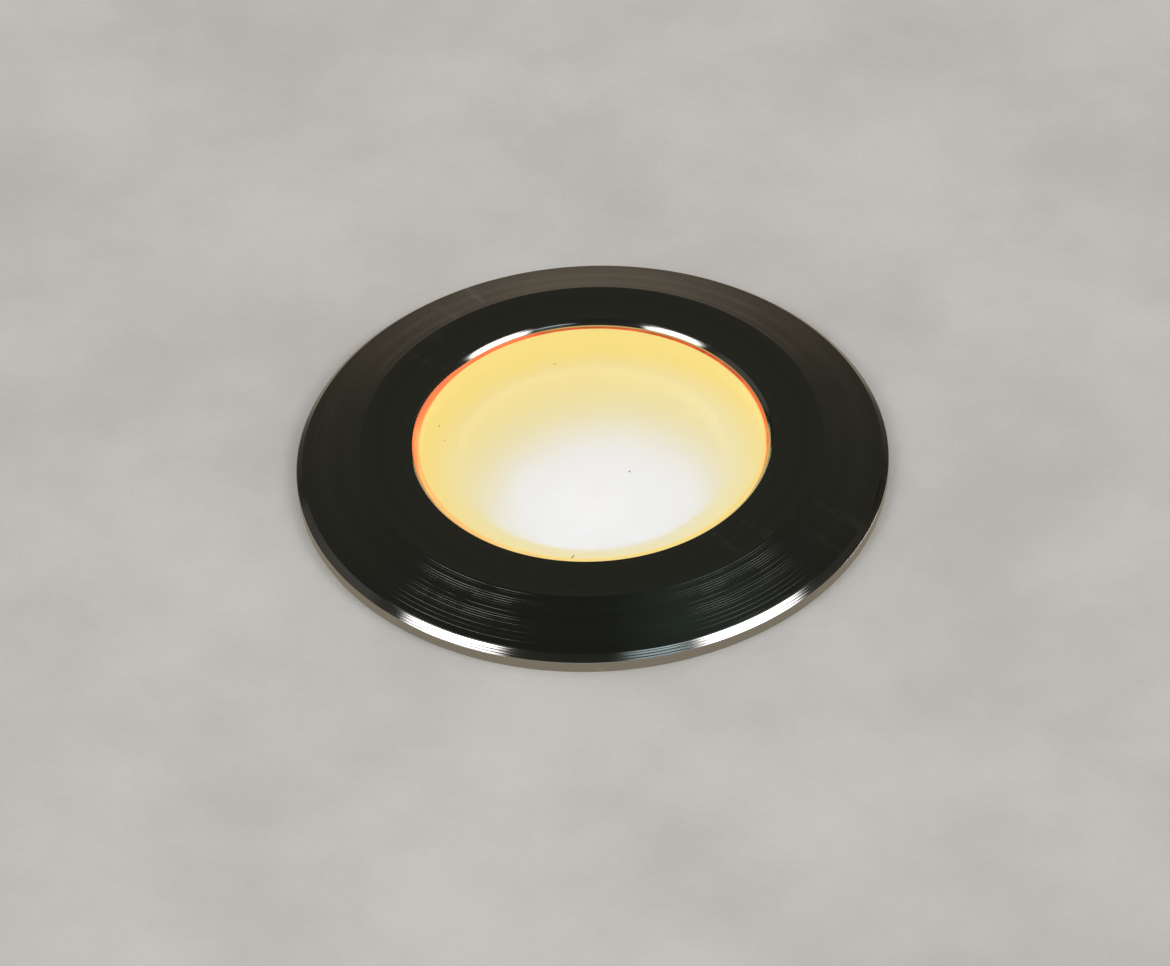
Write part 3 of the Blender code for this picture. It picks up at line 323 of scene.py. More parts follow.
def change_with(piece: Piece, kind: str, **settings: object) -> None:
    """Adds a modifier to a piece and applies it.

    Args:
        piece: The piece to change.
        kind: Blender's name for the modifier.
        settings: The modifier's settings.
    """
    activate(piece)
    modifier = piece.modifiers.new(kind.lower(), kind)
    for name, value in settings.items():
        setattr(modifier, name, value)
    bpy.ops.object.modifier_apply(modifier=modifier.name)


def join_shapes(piece: Piece, tools: Iterable[Piece], joining: Joining) -> None:
    """Welds tools to a piece or carves them out of it, and throws the tools away.

    Args:
        piece: The piece to change.
        tools: The shapes to weld or carve.
        joining: Which of the two.
    """
    for tool in tools:
        change_with(piece, "BOOLEAN", operation=joining.value, solver="EXACT", object=tool)
        bpy.data.objects.remove(tool)


def shade(piece: Piece, angle: float = 30.0) -> None:
    """Shades a piece smooth, but for edges that turn more than an angle in degrees."""
    activate(piece)
    bpy.ops.object.shade_smooth_by_angle(angle=math.radians(angle))


def soften(piece: Piece, width: float, steps: int = 2, least_angle: float = 20.0) -> None:
    """Eases every sharp edge of a piece and shades it smooth.

    Args:
        piece: The piece to finish.
        width: How wide the eased edge is.
        steps: How many faces round it.
        least_angle: Edges that turn less than this, in degrees, stay as they are.
    """
    change_with(piece, "BEVEL", width=width, segments=steps, limit_method="ANGLE",
                angle_limit=math.radians(least_angle), use_clamp_overlap=True)
    shade(piece, 50)
    change_with(piece, "WEIGHTED_NORMAL", keep_sharp=True, weight=80)


def numbered(name: str, count: int = 3) -> list[str]:
    """A name with each number from 1 after it."""
    return [f"{name}_{number}" for number in range(1, count + 1)]


def copies_round(piece: Piece, name: str, angles: Sequence[float]) -> list[Piece]:
    """Copies a piece round the axis, each copy with its own mesh.

    Args:
        piece: The piece as modelled toward +X. It is thrown away.
        name: The copies' name, which a number follows.
        angles: The direction of each copy, in degrees.

    Returns:
        The copies, in order.
    """
    copies = []
    for copy_name, angle in zip(numbered(name, len(angles)), angles):
        copy = piece.copy()
        copy.data = piece.data.copy()
        bpy.context.scene.collection.objects.link(copy)
        apply_place(copy, turn=about_z(angle))
        copies.append(name_piece(copy, copy_name))
    bpy.data.objects.remove(piece)
    return copies


def around(reach: float, angle: float, level: float) -> Vector:
    """A point at a distance from the axis, in a direction in degrees, at a level."""
    turn = math.radians(angle)
    return Vector((reach * math.cos(turn), reach * math.sin(turn), level))


def upright(level: float) -> Vector:
    """A point on the axis at a level, or a step straight up."""
    return Vector((0, 0, level))


def about_z(turn: float) -> Vector:
    """A turn about the axis alone, in degrees, as apply_place takes it."""
    return Vector((0, 0, math.radians(turn)))


def arc(centre: Station, radius: float, start: float, end: float, steps: int) -> list[Station]:
    """Stations along an arc of an outline.

    Args:
        centre: The arc's centre as radius and height.
        radius: The arc's own radius.
        start: Where it starts, in degrees, from 0 pointing outwards and 90 up.
        end: Where it ends, in degrees.
        steps: How many straight stretches stand for it.

    Returns:
        The stations, both ends included.
    """
    turns = [math.radians(start + (end - start) * k / steps) for k in range(steps + 1)]
    return [(centre[0] + radius * math.cos(t), centre[1] + radius * math.sin(t)) for t in turns]


def install(piece: Piece, body: str, replaced: Sequence[str]) -> None:
    """Lets a finished piece ride on a body and stand for the solids it replaces.

    Args:
        piece: The finished and dressed piece.
        body: The body that carries it.
        replaced: The solids that it stands for.
    """
    close_editing()
    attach(piece, body)
    if replaced:
        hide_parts(*replaced)
    log.info("%s rides on %s, %d faces, for %s", piece.name, body, len(piece.data.polygons),
             ", ".join(replaced) or "nothing")


def screen(red: int, green: int, blue: int) -> Colour:
    """A colour given as screen values of 11 to 255, as linear light."""
    return tuple(((c / 255 + 0.055) / 1.055) ** 2.4 for c in (red, green, blue))


class Sheet:
    """A node tree that is filled one node at a time."""

    def __init__(self, tree: bpy.types.NodeTree) -> None:
        """Takes the tree to fill."""
        self.tree = tree

    def feed(self, socket: Socket, value: object) -> None:
        """Links a socket, or sets its constant.

        Args:
            socket: The input socket.
            value: Another node's output, a number, a colour or a vector.
        """
        if isinstance(value, bpy.types.NodeSocket):
            self.tree.links.new(value, socket)
        elif socket.type == "RGBA" and len(value) == 3:
            socket.default_value = (*value, 1.0)
        else:
            socket.default_value = value

    def put(self, kind: str, inputs: dict | None = None, **options: object) -> bpy.types.Node:
        """Adds a node.

        Args:
            kind: The node's type without Blender's prefix.
            inputs: A value or a socket for each input, by its name or number.
            options: The node's own settings.

        Returns:
            The node.
        """
        node = self.tree.nodes.new(f"ShaderNode{kind}")
        for name, value in options.items():
            setattr(node, name, value)
        for key, value in (inputs or {}).items():
            self.feed(node.inputs[key], value)
        return node

    def work_out(self, operation: str, first: object, second: object = 0.0,
                 clamp: bool = False) -> Socket:
        """Works out one number from two.

        Args:
            operation: Blender's name for the operation.
            first: The first number or socket.
            second: The second number or socket.
            clamp: Whether the result is kept between 0 and 1.

        Returns:
            The socket with the result.
        """
        node = self.put("Math", {0: first, 1: second}, operation=operation, use_clamp=clamp)
        return node.outputs[0]

    def times(self, first: object, second: object, clamp: bool = False) -> Socket:
        """The product of two numbers."""
        return self.work_out("MULTIPLY", first, second, clamp)

    def plus(self, first: object, second: object, clamp: bool = False) -> Socket:
        """The sum of two numbers."""
        return self.work_out("ADD", first, second, clamp)

    def minus(self, first: object, second: object, clamp: bool = False) -> Socket:
        """The difference between two numbers."""
        return self.work_out("SUBTRACT", first, second, clamp)

    def over(self, first: object, second: object) -> Socket:
        """One number divided by another."""
        return self.work_out("DIVIDE", first, second)

    def power(self, first: object, second: object) -> Socket:
        """One number to the power of another."""
        return self.work_out("POWER", first, second)

    def remap(self, value: Socket, low: float, high: float, to_low: float = 0.0,
              to_high: float = 1.0) -> Socket:
        """Stretches one range of a value onto another, eased at both ends, and clamps it there.

        Args:
            value: The value.
            low: The start of its range.
            high: The end of its range.
            to_low: What the start becomes.
            to_high: What the end becomes.

        Returns:
            The socket with the stretched value.
        """
        node = self.put("MapRange", {0: value, 1: low, 2: high, 3: to_low, 4: to_high},
                        interpolation_type="SMOOTHSTEP")
        return node.outputs[0]

    def straight(self, value: Socket, low: float, high: float) -> Socket:
        """Where a value lies between two others, from 0 to 1, without easing."""
        return self.put("MapRange", {0: value, 1: low, 2: high}).outputs[0]

    def noise(self, scale: object, detail: float = 3.0, **more: object) -> Socket:
        """Cloudy noise, in the object's own space unless a Vector is given.

        Args:
            scale: How many clouds there are in a metre.
            detail: How many finer layers it has.
            more: Other inputs of the noise, by name.

        Returns:
            The socket with the noise, about 0.5 on average.
        """
        more.setdefault("Vector", self.place())
        return self.put("TexNoise", {"Scale": scale, "Detail": detail, **more}).outputs[0]

    def noise_along(self, value: Socket, scale: float, detail: float) -> Socket:
        """Noise that changes with one value alone."""
        inputs = {"W": value, "Scale": scale, "Detail": detail}
        return self.put("TexNoise", inputs, noise_dimensions="1D").outputs[0]

    def axes(self) -> Sequence[Socket]:
        """The object's own coordinates, one by one."""
        return self.put("SeparateXYZ", {0: self.place()}).outputs

    def away(self, across: Socket, along: Socket) -> Socket:
        """How far a point with two coordinates is from their zero."""
        return self.power(self.plus(self.power(across, 2), self.power(along, 2)), 0.5)

    def place(self) -> Socket:
        """The object's own coordinates."""
        return self.put("TexCoord").outputs["Object"]

    def blend(self, share: object, first: object, second: object, mode: str = "MIX") -> Socket:
        """Blends two colours, which are the node's inputs 6 and 7 and its output 2.

        Args:
            share: How much of the second there is.
            first: The first colour or socket.
            second: The second colour or socket.
            mode: Blender's name for the way of blending.

        Returns:
            The socket with the colour.
        """
        node = self.put("Mix", {0: share, 6: first, 7: second}, data_type="RGBA", blend_type=mode)
        return node.outputs[2]

    def ramp(self, value: Socket, stops: Sequence[Stop]) -> Socket:
        """Turns a value into a colour.

        Args:
            value: The value, from 0 to 1.
            stops: Where each colour is reached.

        Returns:
            The socket with the colour.
        """
        node = self.put("ValToRGB", {0: value})
        elements = node.color_ramp.elements
        while len(elements) < len(stops):
            elements.new(0.5)
        for element, (position, colour) in zip(elements, stops):
            element.position = position
            element.color = (*colour, 1.0)
        return node.outputs[0]

    def bump(self, height: Socket, depth: float) -> Socket:
        """The normal of a relief whose height of 1 is a depth in metres."""
        return self.put("Bump", {"Height": height, "Distance": depth, "Strength": 1.0}).outputs[0]

    def effect(self, group: bpy.types.NodeTree, inputs: dict[str, float], output: str) -> Socket:
        """Places a shared effect.

        Args:
            group: The effect's node group.
            inputs: Its settings by name.
            output: The output that is wanted.

        Returns:
            The socket with that output.
        """
        node = self.put("Group", node_tree=group)
        for name, value in inputs.items():
            self.feed(node.inputs[name], value)
        return node.outputs[output]


def new_effect(
        name: str, settings: dict[str, float], outputs: Sequence[str]) -> tuple[Sheet, dict, dict]:
    """Starts a shader node group with named number inputs and outputs.

    Args:
        name: The group's name.
        settings: Its inputs and their usual values.
        outputs: Its outputs.

    Returns:
        The sheet to fill, the inputs to read and the outputs to feed, by name.
    """
    tree = bpy.data.node_groups.new(name, "ShaderNodeTree")
    for setting, usual in settings.items():
        socket = tree.interface.new_socket(setting, in_out="INPUT", socket_type="NodeSocketFloat")
        socket.default_value = usual
    for output in outputs:
        tree.interface.new_socket(output, in_out="OUTPUT", socket_type="NodeSocketFloat")
    start = tree.nodes.new("NodeGroupInput")
    end = tree.nodes.new("NodeGroupOutput")
    given = {socket.name: socket for socket in start.outputs if socket.name}
    wanted = {socket.name: socket for socket in end.inputs if socket.name}
    return Sheet(tree), given, wanted


@functools.cache
def turning_marks() -> bpy.types.NodeTree:
    """Rings left by a cutting tool: smooth hollows with thin ridges between, some of them high.

    Returns:
        The group. Height is the marks' relief and Bands the slow change from ring to ring.
    """
    sheet, given, wanted = new_effect(
        "turning_marks", {"Pitch": 0.00027, "Sharpness": 10.0}, ["Height", "Bands"])
    axes = sheet.axes()
    fed = sheet.minus(sheet.away(axes[0], axes[1]), sheet.times(axes[2], RISE_SHARE))
    turns = sheet.over(fed, given["Pitch"])
    crest = sheet.work_out("ABSOLUTE", sheet.work_out("SINE", sheet.times(turns, math.pi)))
    ridge = sheet.power(crest, given["Sharpness"])
    ring = sheet.work_out("FLOOR", turns)
    height = sheet.put("TexWhiteNoise", {"W": ring}, noise_dimensions="1D").outputs[0]
    chatter = sheet.remap(sheet.noise(260.0, 3.0), 0.35, 0.65, 0.72, 1.0)
    high = sheet.times(sheet.power(height, 0.4), chatter)
    ripple = sheet.times(sheet.noise_along(turns, 5.0, 1.0), 0.13)
    sheet.feed(wanted["Height"], sheet.plus(sheet.times(ridge, high), ripple))
    sheet.feed(wanted["Bands"], sheet.noise_along(turns, 0.13, 3.0))
    return sheet.tree


@functools.cache
def edge_wear() -> bpy.types.NodeTree:
    """Where handling has rubbed the outer edges.

    Returns:
        The group. Mask is 1 on a rubbed edge.
    """
    sheet, given, wanted = new_effect("edge_wear", {"Threshold": 0.555, "Breakup": 900.0}, ["Mask"])
    sharp = sheet.put("NewGeometry").outputs["Pointiness"]
    raised = sheet.times(sheet.minus(sharp, given["Threshold"]), 12.0, clamp=True)
    broken = sheet.remap(sheet.noise(given["Breakup"], 4.0), 0.38, 0.62)
    sheet.feed(wanted["Mask"], sheet.times(raised, broken, clamp=True))
    return sheet.tree


@functools.cache
def settled_dust() -> bpy.types.NodeTree:
    """Dust that has settled on faces that look up.

    Returns:
        The group. Mask is 1 where the dust lies thick.
    """
    sheet, given, wanted = new_effect("settled_dust", {"Scale": 300.0, "Amount": 0.3}, ["Mask"])
    upward = sheet.put("SeparateXYZ", {0: sheet.put("TexCoord").outputs["Normal"]}).outputs[2]
    level = sheet.remap(upward, 0.1, 0.9, 0.12, 1.0)
    lying = sheet.times(level, sheet.remap(sheet.noise(given["Scale"], 8.0), 0.3, 0.8))
    loose = sheet.times(lying, sheet.remap(sheet.noise(9000.0, 1.0), 0.4, 0.7, 0.4, 1.0))
    sheet.feed(wanted["Mask"], sheet.times(loose, given["Amount"], clamp=True))
    return sheet.tree


@functools.cache
def smudges() -> bpy.types.NodeTree:
    """Finger marks and wiped patches that change the gloss.

    Returns:
        The group. Value runs from 0, clean, to 1, smudged.
    """
    sheet, given, wanted = new_effect("smudges", {"Scale": 120.0}, ["Value"])
    bent = sheet.times(sheet.noise(given["Scale"], 2.0, Distortion=1.5), 0.8)
    both = sheet.plus(bent, sheet.times(sheet.noise(2500.0), 0.2))
    sheet.feed(wanted["Value"], sheet.remap(both, 0.35, 0.7))
    return sheet.tree


@functools.cache
def moulded_grain() -> bpy.types.NodeTree:
    """The fine spark-eroded texture of a moulded face, with a few pits.

    Returns:
        The group. Height is the relief.
    """
    sheet, given, wanted = new_effect("moulded_grain", {"Scale": 5000.0}, ["Height"])
    cells = sheet.put("TexVoronoi", {"Vector": sheet.place(), "Scale": 1400.0})
    pits = sheet.remap(cells.outputs["Distance"], 0.16, 0.06)
    rough = sheet.noise(given["Scale"], 4.0)
    sheet.feed(wanted["Height"], sheet.minus(rough, sheet.times(pits, 0.5)))
    return sheet.tree


@functools.cache
def hairlines() -> bpy.types.NodeTree:
    """Straight fine scratches in two directions.

    Returns:
        The group. Mask is 1 in a scratch.
    """
    sheet, given, wanted = new_effect("hairlines", {"Length": 90.0, "Fineness": 6000.0}, ["Mask"])
    marks = []
    for angle in (0.35, 1.9):
        aimed = sheet.put("Mapping", {"Vector": sheet.place(), "Rotation": (0.4, angle, angle)})
        parts = sheet.put("SeparateXYZ", {0: aimed.outputs[0]}).outputs
        long_way = sheet.times(parts[0], given["Length"])
        cross_way = sheet.times(parts[1], given["Fineness"])
        drawn = sheet.put("CombineXYZ", {0: long_way, 1: cross_way, 2: sheet.times(parts[2], 60.0)})
        lines = sheet.noise(1.0, 1.0, Vector=drawn.outputs[0])
        marks.append(sheet.remap(lines, 0.66, 0.74))
    sheet.feed(wanted["Mask"], sheet.work_out("MAXIMUM", marks[0], marks[1]))
    return sheet.tree


class Finish:
    """What every finish shares: a name, and a material that is built once."""

    name: str

    @functools.cache
    def material(self) -> bpy.types.Material:
        """Builds the material.

        Returns:
            The material, the same one each time.
        """
        made = bpy.data.materials.new(self.name)
        made.use_nodes = True
        sheet = Sheet(made.node_tree)
        shader = made.node_tree.nodes["Principled BSDF"]
        self.fill(sheet, shader)
        return made

    def fill(self, sheet: Sheet, shader: bpy.types.Node) -> None:
        """Fills the material's nodes. Each kind of finish has its own way."""
        raise NotImplementedError

    def dress(self, piece: Piece) -> None:
        """Puts the finish on a piece, in place of what it wears."""
        piece.data.materials.clear()
        piece.data.materials.append(self.material())


@dataclass(frozen=True)
class Metal(Finish):
    """A bare or plated metal, with tool marks, rubbed edges, smudges and dust."""

    name: str
    colour: Colour
    shade: Colour
    roughness: float
    spread: float = 0.08
    pitch: float = 0.0003
    relief: float = 0.000002
    rubbed: Colour = (0.8, 0.8, 0.8)
    dust: float = 0.1
    scratches: float = 0.3

    def fill(self, sheet: Sheet, shader: bpy.types.Node) -> None:
        """Fills the nodes of the metal.

        Args:
            sheet: The material's node tree.
            shader: Its shader.
        """
        bands = sheet.effect(turning_marks(), {"Pitch": self.pitch}, "Bands")
        marks = sheet.effect(turning_marks(), {"Pitch": self.pitch}, "Height")
        worn = sheet.effect(edge_wear(), {}, "Mask")
        wiped = sheet.effect(smudges(), {}, "Value")
        lying = sheet.effect(settled_dust(), {"Amount": self.dust}, "Mask")
        lines = sheet.times(sheet.effect(hairlines(), {}, "Mask"), self.scratches)
        tone = sheet.blend(sheet.remap(bands, 0.3, 0.7), self.colour, self.shade)
        tone = sheet.blend(sheet.times(worn, 0.7), tone, self.rubbed)
        sheet.feed(shader.inputs["Base Color"], sheet.blend(lying, tone, METAL_DUST))
        gloss = sheet.plus(sheet.times(wiped, self.spread), self.roughness)
        gloss = sheet.plus(gloss, sheet.times(lines, 0.2))
        gloss = sheet.plus(gloss, sheet.times(lying, 0.5), clamp=True)
        sheet.feed(shader.inputs["Roughness"], gloss)
        sheet.feed(shader.inputs["Metallic"], sheet.minus(1.0, lying, clamp=True))
        height = sheet.minus(marks, sheet.times(lines, 0.4))
        sheet.feed(shader.inputs["Normal"], sheet.bump(height, self.relief))


@dataclass(frozen=True)
class Polymer(Finish):
    """A moulded plastic, rubber or ferrite, with grain, pits, rubbed edges and dust."""

    name: str
    colour: Colour
    shade: Colour
    roughness: float
    grain: float = 5000.0
    relief: float = 0.000012
    rubbed: Colour = (0.3, 0.3, 0.3)
    wear: float = 0.5
    dust: float = 0.3

    def fill(self, sheet: Sheet, shader: bpy.types.Node) -> None:
        """Fills the nodes of the polymer.

        Args:
            sheet: The material's node tree.
            shader: Its shader.
        """
        cloud = sheet.remap(sheet.noise(140.0, 5.0), 0.35, 0.65)
        worn = sheet.times(sheet.effect(edge_wear(), {}, "Mask"), self.wear)
        lying = sheet.effect(settled_dust(), {"Amount": self.dust}, "Mask")
        lines = sheet.effect(hairlines(), {"Length": 60.0}, "Mask")
        wiped = sheet.effect(smudges(), {}, "Value")
        tone = sheet.blend(cloud, self.colour, self.shade)
        tone = sheet.blend(worn, tone, self.rubbed)
        tone = sheet.blend(sheet.times(lines, 0.12), tone, self.rubbed)
        sheet.feed(shader.inputs["Base Color"], sheet.blend(lying, tone, DUST))
        gloss = sheet.plus(sheet.times(wiped, 0.08), self.roughness - 0.04)
        gloss = sheet.plus(gloss, sheet.times(lying, 0.4), clamp=True)
        sheet.feed(shader.inputs["Roughness"], gloss)
        grain = sheet.effect(moulded_grain(), {"Scale": self.grain}, "Height")
        height = sheet.minus(grain, sheet.times(lines, 0.3))
        sheet.feed(shader.inputs["Normal"], sheet.bump(height, self.relief))


@dataclass(frozen=True)
class Glow(Finish):
    """A surface with painted glow, brighter and whiter near the axis: the source, or its light on
    parts round it.
    """

    name: str
    colour: Colour
    stops: tuple[Stop, ...]
    reach: float
    strength: float = 1.0
    roughness: float = 0.4
    centre: Spot = (0.0, 0.0)

    def fill(self, sheet: Sheet, shader: bpy.types.Node) -> None:
        """Fills the nodes of the surface with painted glow.

        Args:
            sheet: The material's node tree.
            shader: Its shader.
        """
        axes = sheet.axes()
        across, along = [sheet.minus(axes[k], self.centre[k]) for k in (0, 1)]
        away = sheet.over(sheet.away(across, along), self.reach)
        cloud = sheet.times(sheet.minus(sheet.noise(350.0), 0.5), 0.05)
        light = sheet.ramp(sheet.plus(away, cloud, clamp=True), self.stops)
        wiped = sheet.effect(smudges(), {}, "Value")
        darker = [share * 0.85 for share in self.colour]
        sheet.feed(shader.inputs["Base Color"], sheet.blend(wiped, self.colour, darker))
        gloss = sheet.plus(sheet.times(wiped, 0.1), self.roughness)
        sheet.feed(shader.inputs["Roughness"], gloss)
        sheet.feed(shader.inputs["Emission Color"], light)
        shader.inputs["Emission Strength"].default_value = self.strength
        grain = sheet.effect(moulded_grain(), {"Scale": 3000.0}, "Height")
        sheet.feed(shader.inputs["Normal"], sheet.bump(grain, 0.000004))


@dataclass(frozen=True)
class FrostedGlass(Finish):
    """Frosted glass with a few dark specks and fine scratches."""

    name: str
    roughness: float
    spread: float
    specks: tuple[tuple[float, float, float], ...] = ()
    colour: Colour = (0.996, 0.996, 0.993)
    ior: float = 1.47

    def fill(self, sheet: Sheet, shader: bpy.types.Node) -> None:
        """Fills the nodes of the glass.

        Args:
            sheet: The material's node tree.
            shader: Its shader.
        """
        lying = sheet.effect(settled_dust(), {"Scale": 500.0, "Amount": 0.02}, "Mask")
        tone = sheet.blend(lying, self.colour, GLASS_DUST)
        axes = sheet.axes()
        flat = sheet.put("CombineXYZ", {0: axes[0], 1: axes[1]}).outputs[0]
        for across, along, radius in self.specks:
            spot = sheet.put("VectorMath", {0: flat, 1: (across, along, 0.0)}, operation="DISTANCE")
            dark = sheet.remap(spot.outputs["Value"], radius * 1.4, radius * 0.6)
            tone = sheet.blend(dark, tone, SPECK_TONE)
        sheet.feed(shader.inputs["Base Color"], tone)
        lines = sheet.effect(hairlines(), {"Length": 70.0}, "Mask")
        wiped = sheet.effect(smudges(), {"Scale": 180.0}, "Value")
        gloss = sheet.plus(sheet.times(wiped, self.spread), self.roughness)
        sheet.feed(shader.inputs["Roughness"], sheet.plus(gloss, sheet.times(lines, 0.05)))
        shader.inputs["Transmission Weight"].default_value = 1.0
        shader.inputs["IOR"].default_value = self.ior
        frost = sheet.effect(moulded_grain(), {"Scale": 9000.0}, "Height")
        sheet.feed(shader.inputs["Normal"], sheet.bump(frost, 0.0000015))


@dataclass(frozen=True)
class PrintedBoard(Finish):
    """A circuit board: copper tracks under a solder mask, and tinned pads."""

    name: str
    colour: Colour
    track: Colour
    tin: Colour

    def fill(self, sheet: Sheet, shader: bpy.types.Node) -> None:
        """Fills the nodes of the board.

        Args:
            sheet: The material's node tree.
            shader: Its shader.
        """
        grid = sheet.put("TexBrick", {
            "Vector": sheet.place(), "Scale": 1.0, "Mortar Size": 0.00016, "Mortar Smooth": 0.2,
            "Brick Width": 0.0046, "Row Height": 0.0013}).outputs["Fac"]
        spots = sheet.put("TexVoronoi", {"Vector": sheet.place(), "Scale": 420.0})
        pads = sheet.remap(spots.outputs["Distance"], 0.24, 0.19)
        cloud = sheet.remap(sheet.noise(240.0, 4.0), 0.3, 0.7, 0.0, 0.25)
        lying = sheet.effect(settled_dust(), {"Amount": 0.1}, "Mask")
        tone = sheet.blend(sheet.plus(grid, cloud, clamp=True), self.colour, self.track)
        tone = sheet.blend(pads, tone, self.tin)
        sheet.feed(shader.inputs["Base Color"], sheet.blend(lying, tone, DUST))
        sheet.feed(shader.inputs["Metallic"], pads)
        wiped = sheet.effect(smudges(), {}, "Value")
        sheet.feed(shader.inputs["Roughness"], sheet.plus(sheet.times(wiped, 0.1), 0.32))
        height = sheet.plus(grid, pads, clamp=True)
        sheet.feed(shader.inputs["Normal"], sheet.bump(height, 0.00003))


@dataclass(frozen=True)
class PaleFloor(Finish):
    """Smooth pale screed with faint clouds and pores."""

    name: str = "pale_floor"
    light: Colour = (0.66, 0.64, 0.61)
    dark: Colour = (0.56, 0.54, 0.51)

    def fill(self, sheet: Sheet, shader: bpy.types.Node) -> None:
        """Fills the nodes of the floor.

        Args:
            sheet: The material's node tree.
            shader: Its shader.
        """
        cloud = sheet.remap(sheet.noise(35.0, 8.0, Roughness=0.6), 0.3, 0.7)
        grain = sheet.noise(1500.0, 5.0)
        pores = sheet.remap(grain, 0.55, 0.8, 0.0, 0.3)
        tone = sheet.blend(cloud, self.light, self.dark)
        sheet.feed(shader.inputs["Base Color"], sheet.blend(pores, tone, self.dark))
        sheet.feed(shader.inputs["Roughness"], sheet.remap(grain, 0.2, 0.8, 0.7, 0.9))
        sheet.feed(shader.inputs["Normal"], sheet.bump(grain, 0.00006))


STEEL = Metal("polished_steel", (0.60, 0.59, 0.57), (0.53, 0.52, 0.50), roughness=0.07, spread=0.02,
              pitch=0.00027, relief=0.0000082, dust=0.0, scratches=0.02)
SPRING_STEEL = Metal("spring_steel", (0.55, 0.54, 0.52), (0.45, 0.44, 0.43), roughness=0.24,
                     spread=0.12, pitch=0.0006, relief=0.000001)
PLATED_STEEL = Metal("plated_steel", (0.66, 0.65, 0.62), (0.56, 0.55, 0.50), roughness=0.22,
                     spread=0.10, pitch=0.0002, relief=0.000001)
ALUMINIUM = Metal("aluminium", (0.78, 0.79, 0.80), (0.68, 0.69, 0.70), roughness=0.30, spread=0.12,
                  pitch=0.0004, relief=0.000004)
ANODISED = Metal("anodised_housing", (0.42, 0.43, 0.44), (0.37, 0.38, 0.39), roughness=0.36,
                 spread=0.04, pitch=0.0005, relief=0.0000025, rubbed=(0.62, 0.62, 0.62), dust=0.08,
                 scratches=0.2)
BRASS = Metal("brass", (0.76, 0.58, 0.28), (0.60, 0.44, 0.20), roughness=0.24, spread=0.12,
              pitch=0.0003, relief=0.000003, rubbed=(0.90, 0.76, 0.45))
COPPER = Metal("copper_winding", (0.72, 0.30, 0.14), (0.60, 0.24, 0.11), roughness=0.22,
               spread=0.08, pitch=0.0005, relief=0.00003, rubbed=(0.85, 0.45, 0.25), dust=0.05)
BLACK_RUBBER = Polymer("black_rubber", (0.026, 0.026, 0.026), (0.045, 0.044, 0.042), 0.62,
                       rubbed=(0.10, 0.10, 0.10), dust=0.25)
GREY_SILICONE = Polymer("grey_silicone", (0.42, 0.43, 0.44), (0.36, 0.37, 0.38), 0.55,
                        rubbed=(0.6, 0.6, 0.6))
GLAND_NYLON = Polymer("gland_nylon", (0.045, 0.045, 0.047), (0.058, 0.057, 0.056), 0.40,
                      rubbed=(0.14, 0.14, 0.14), wear=0.35, dust=0.15)
SLEEVE_PLASTIC = Polymer("sleeve_plastic", (0.060, 0.060, 0.062), (0.070, 0.069, 0.068), 0.44,
                         rubbed=(0.16, 0.16, 0.155), wear=0.4, dust=0.22)
BLACK_EPOXY = Polymer("black_epoxy", (0.03, 0.03, 0.032), (0.05, 0.05, 0.05), 0.45, dust=0.1)
FERRITE = Polymer("ferrite", (0.08, 0.08, 0.085), (0.13, 0.13, 0.135), 0.50, dust=0.1)
CAPACITOR_SLEEVE = Polymer("capacitor_sleeve", (0.03, 0.07, 0.22), (0.05, 0.10, 0.28), 0.30,
                           dust=0.1)
CAPACITOR_STRIPE = Polymer("capacitor_stripe", (0.55, 0.60, 0.66), (0.50, 0.55, 0.62), 0.30,
                           dust=0.1)
TERMINAL_GREEN = Polymer("terminal_green", (0.07, 0.38, 0.18), (0.11, 0.46, 0.24), 0.42, dust=0.1)
RED_PVC = Polymer("red_wire", (0.58, 0.04, 0.03), (0.66, 0.07, 0.05), 0.40, dust=0.05)
BLACK_PVC = Polymer("black_wire", (0.025, 0.025, 0.025), (0.05, 0.05, 0.05), 0.40, dust=0.05)
GREEN_BOARD = PrintedBoard("green_board", (0.03, 0.19, 0.08), track=(0.06, 0.30, 0.13),
                           tin=(0.66, 0.65, 0.62))

# Specks in the glass: X, Y and radius
LENS_SPECKS = (
    (-0.01535, 0.00336, 0.00010), (-0.01485, 0.00110, 0.00008), (-0.00350, 0.01210, 0.00009),
    (-0.00326, 0.01204, 0.00007), (0.00367, -0.00480, 0.00012), (-0.00225, -0.01685, 0.00006),
    (-0.00234, -0.01696, 0.00008), (-0.00240, -0.01708, 0.00009), (-0.00244, -0.01722, 0.00009),
    (-0.00252, -0.01735, 0.00008))
LENS_FACE = FrostedGlass("frosted_glass", roughness=0.28, spread=0.06, specks=LENS_SPECKS)
LENS_UNDERSIDE = FrostedGlass("etched_underside", roughness=0.36, spread=0.08)
# Colours of the painted glow that stands for the source's light on the lens, the cup and the board
WHITE_LIGHT = screen(235, 236, 238)
CORE_LIGHT = screen(245, 246, 250)
# The middle of the painted glow: a little to the right of the axis and in front of it
GLOW_CENTRE: Spot = (0.0010, -0.0017)
GLOW_REACH = 0.0190
RING_REACH = 0.0186
YELLOW_STOPS = ((0.66, screen(239, 230, 190)), (0.76, screen(241, 227, 168)),
                (0.87, screen(243, 222, 147)), (0.95, screen(245, 220, 132)))
# Painted glow on the lens's margin over the gasket and on its side: the source's light seen in the
# glass
LENS_MARGIN_GLOW = Glow(
    "lens_margin_painted_glow", (0.10, 0.08, 0.04),
    ((0.0, WHITE_LIGHT), (0.44, WHITE_LIGHT), (0.55, screen(236, 233, 219)), *YELLOW_STOPS),
    reach=GLOW_REACH, strength=0.98, roughness=0.6, centre=GLOW_CENTRE)
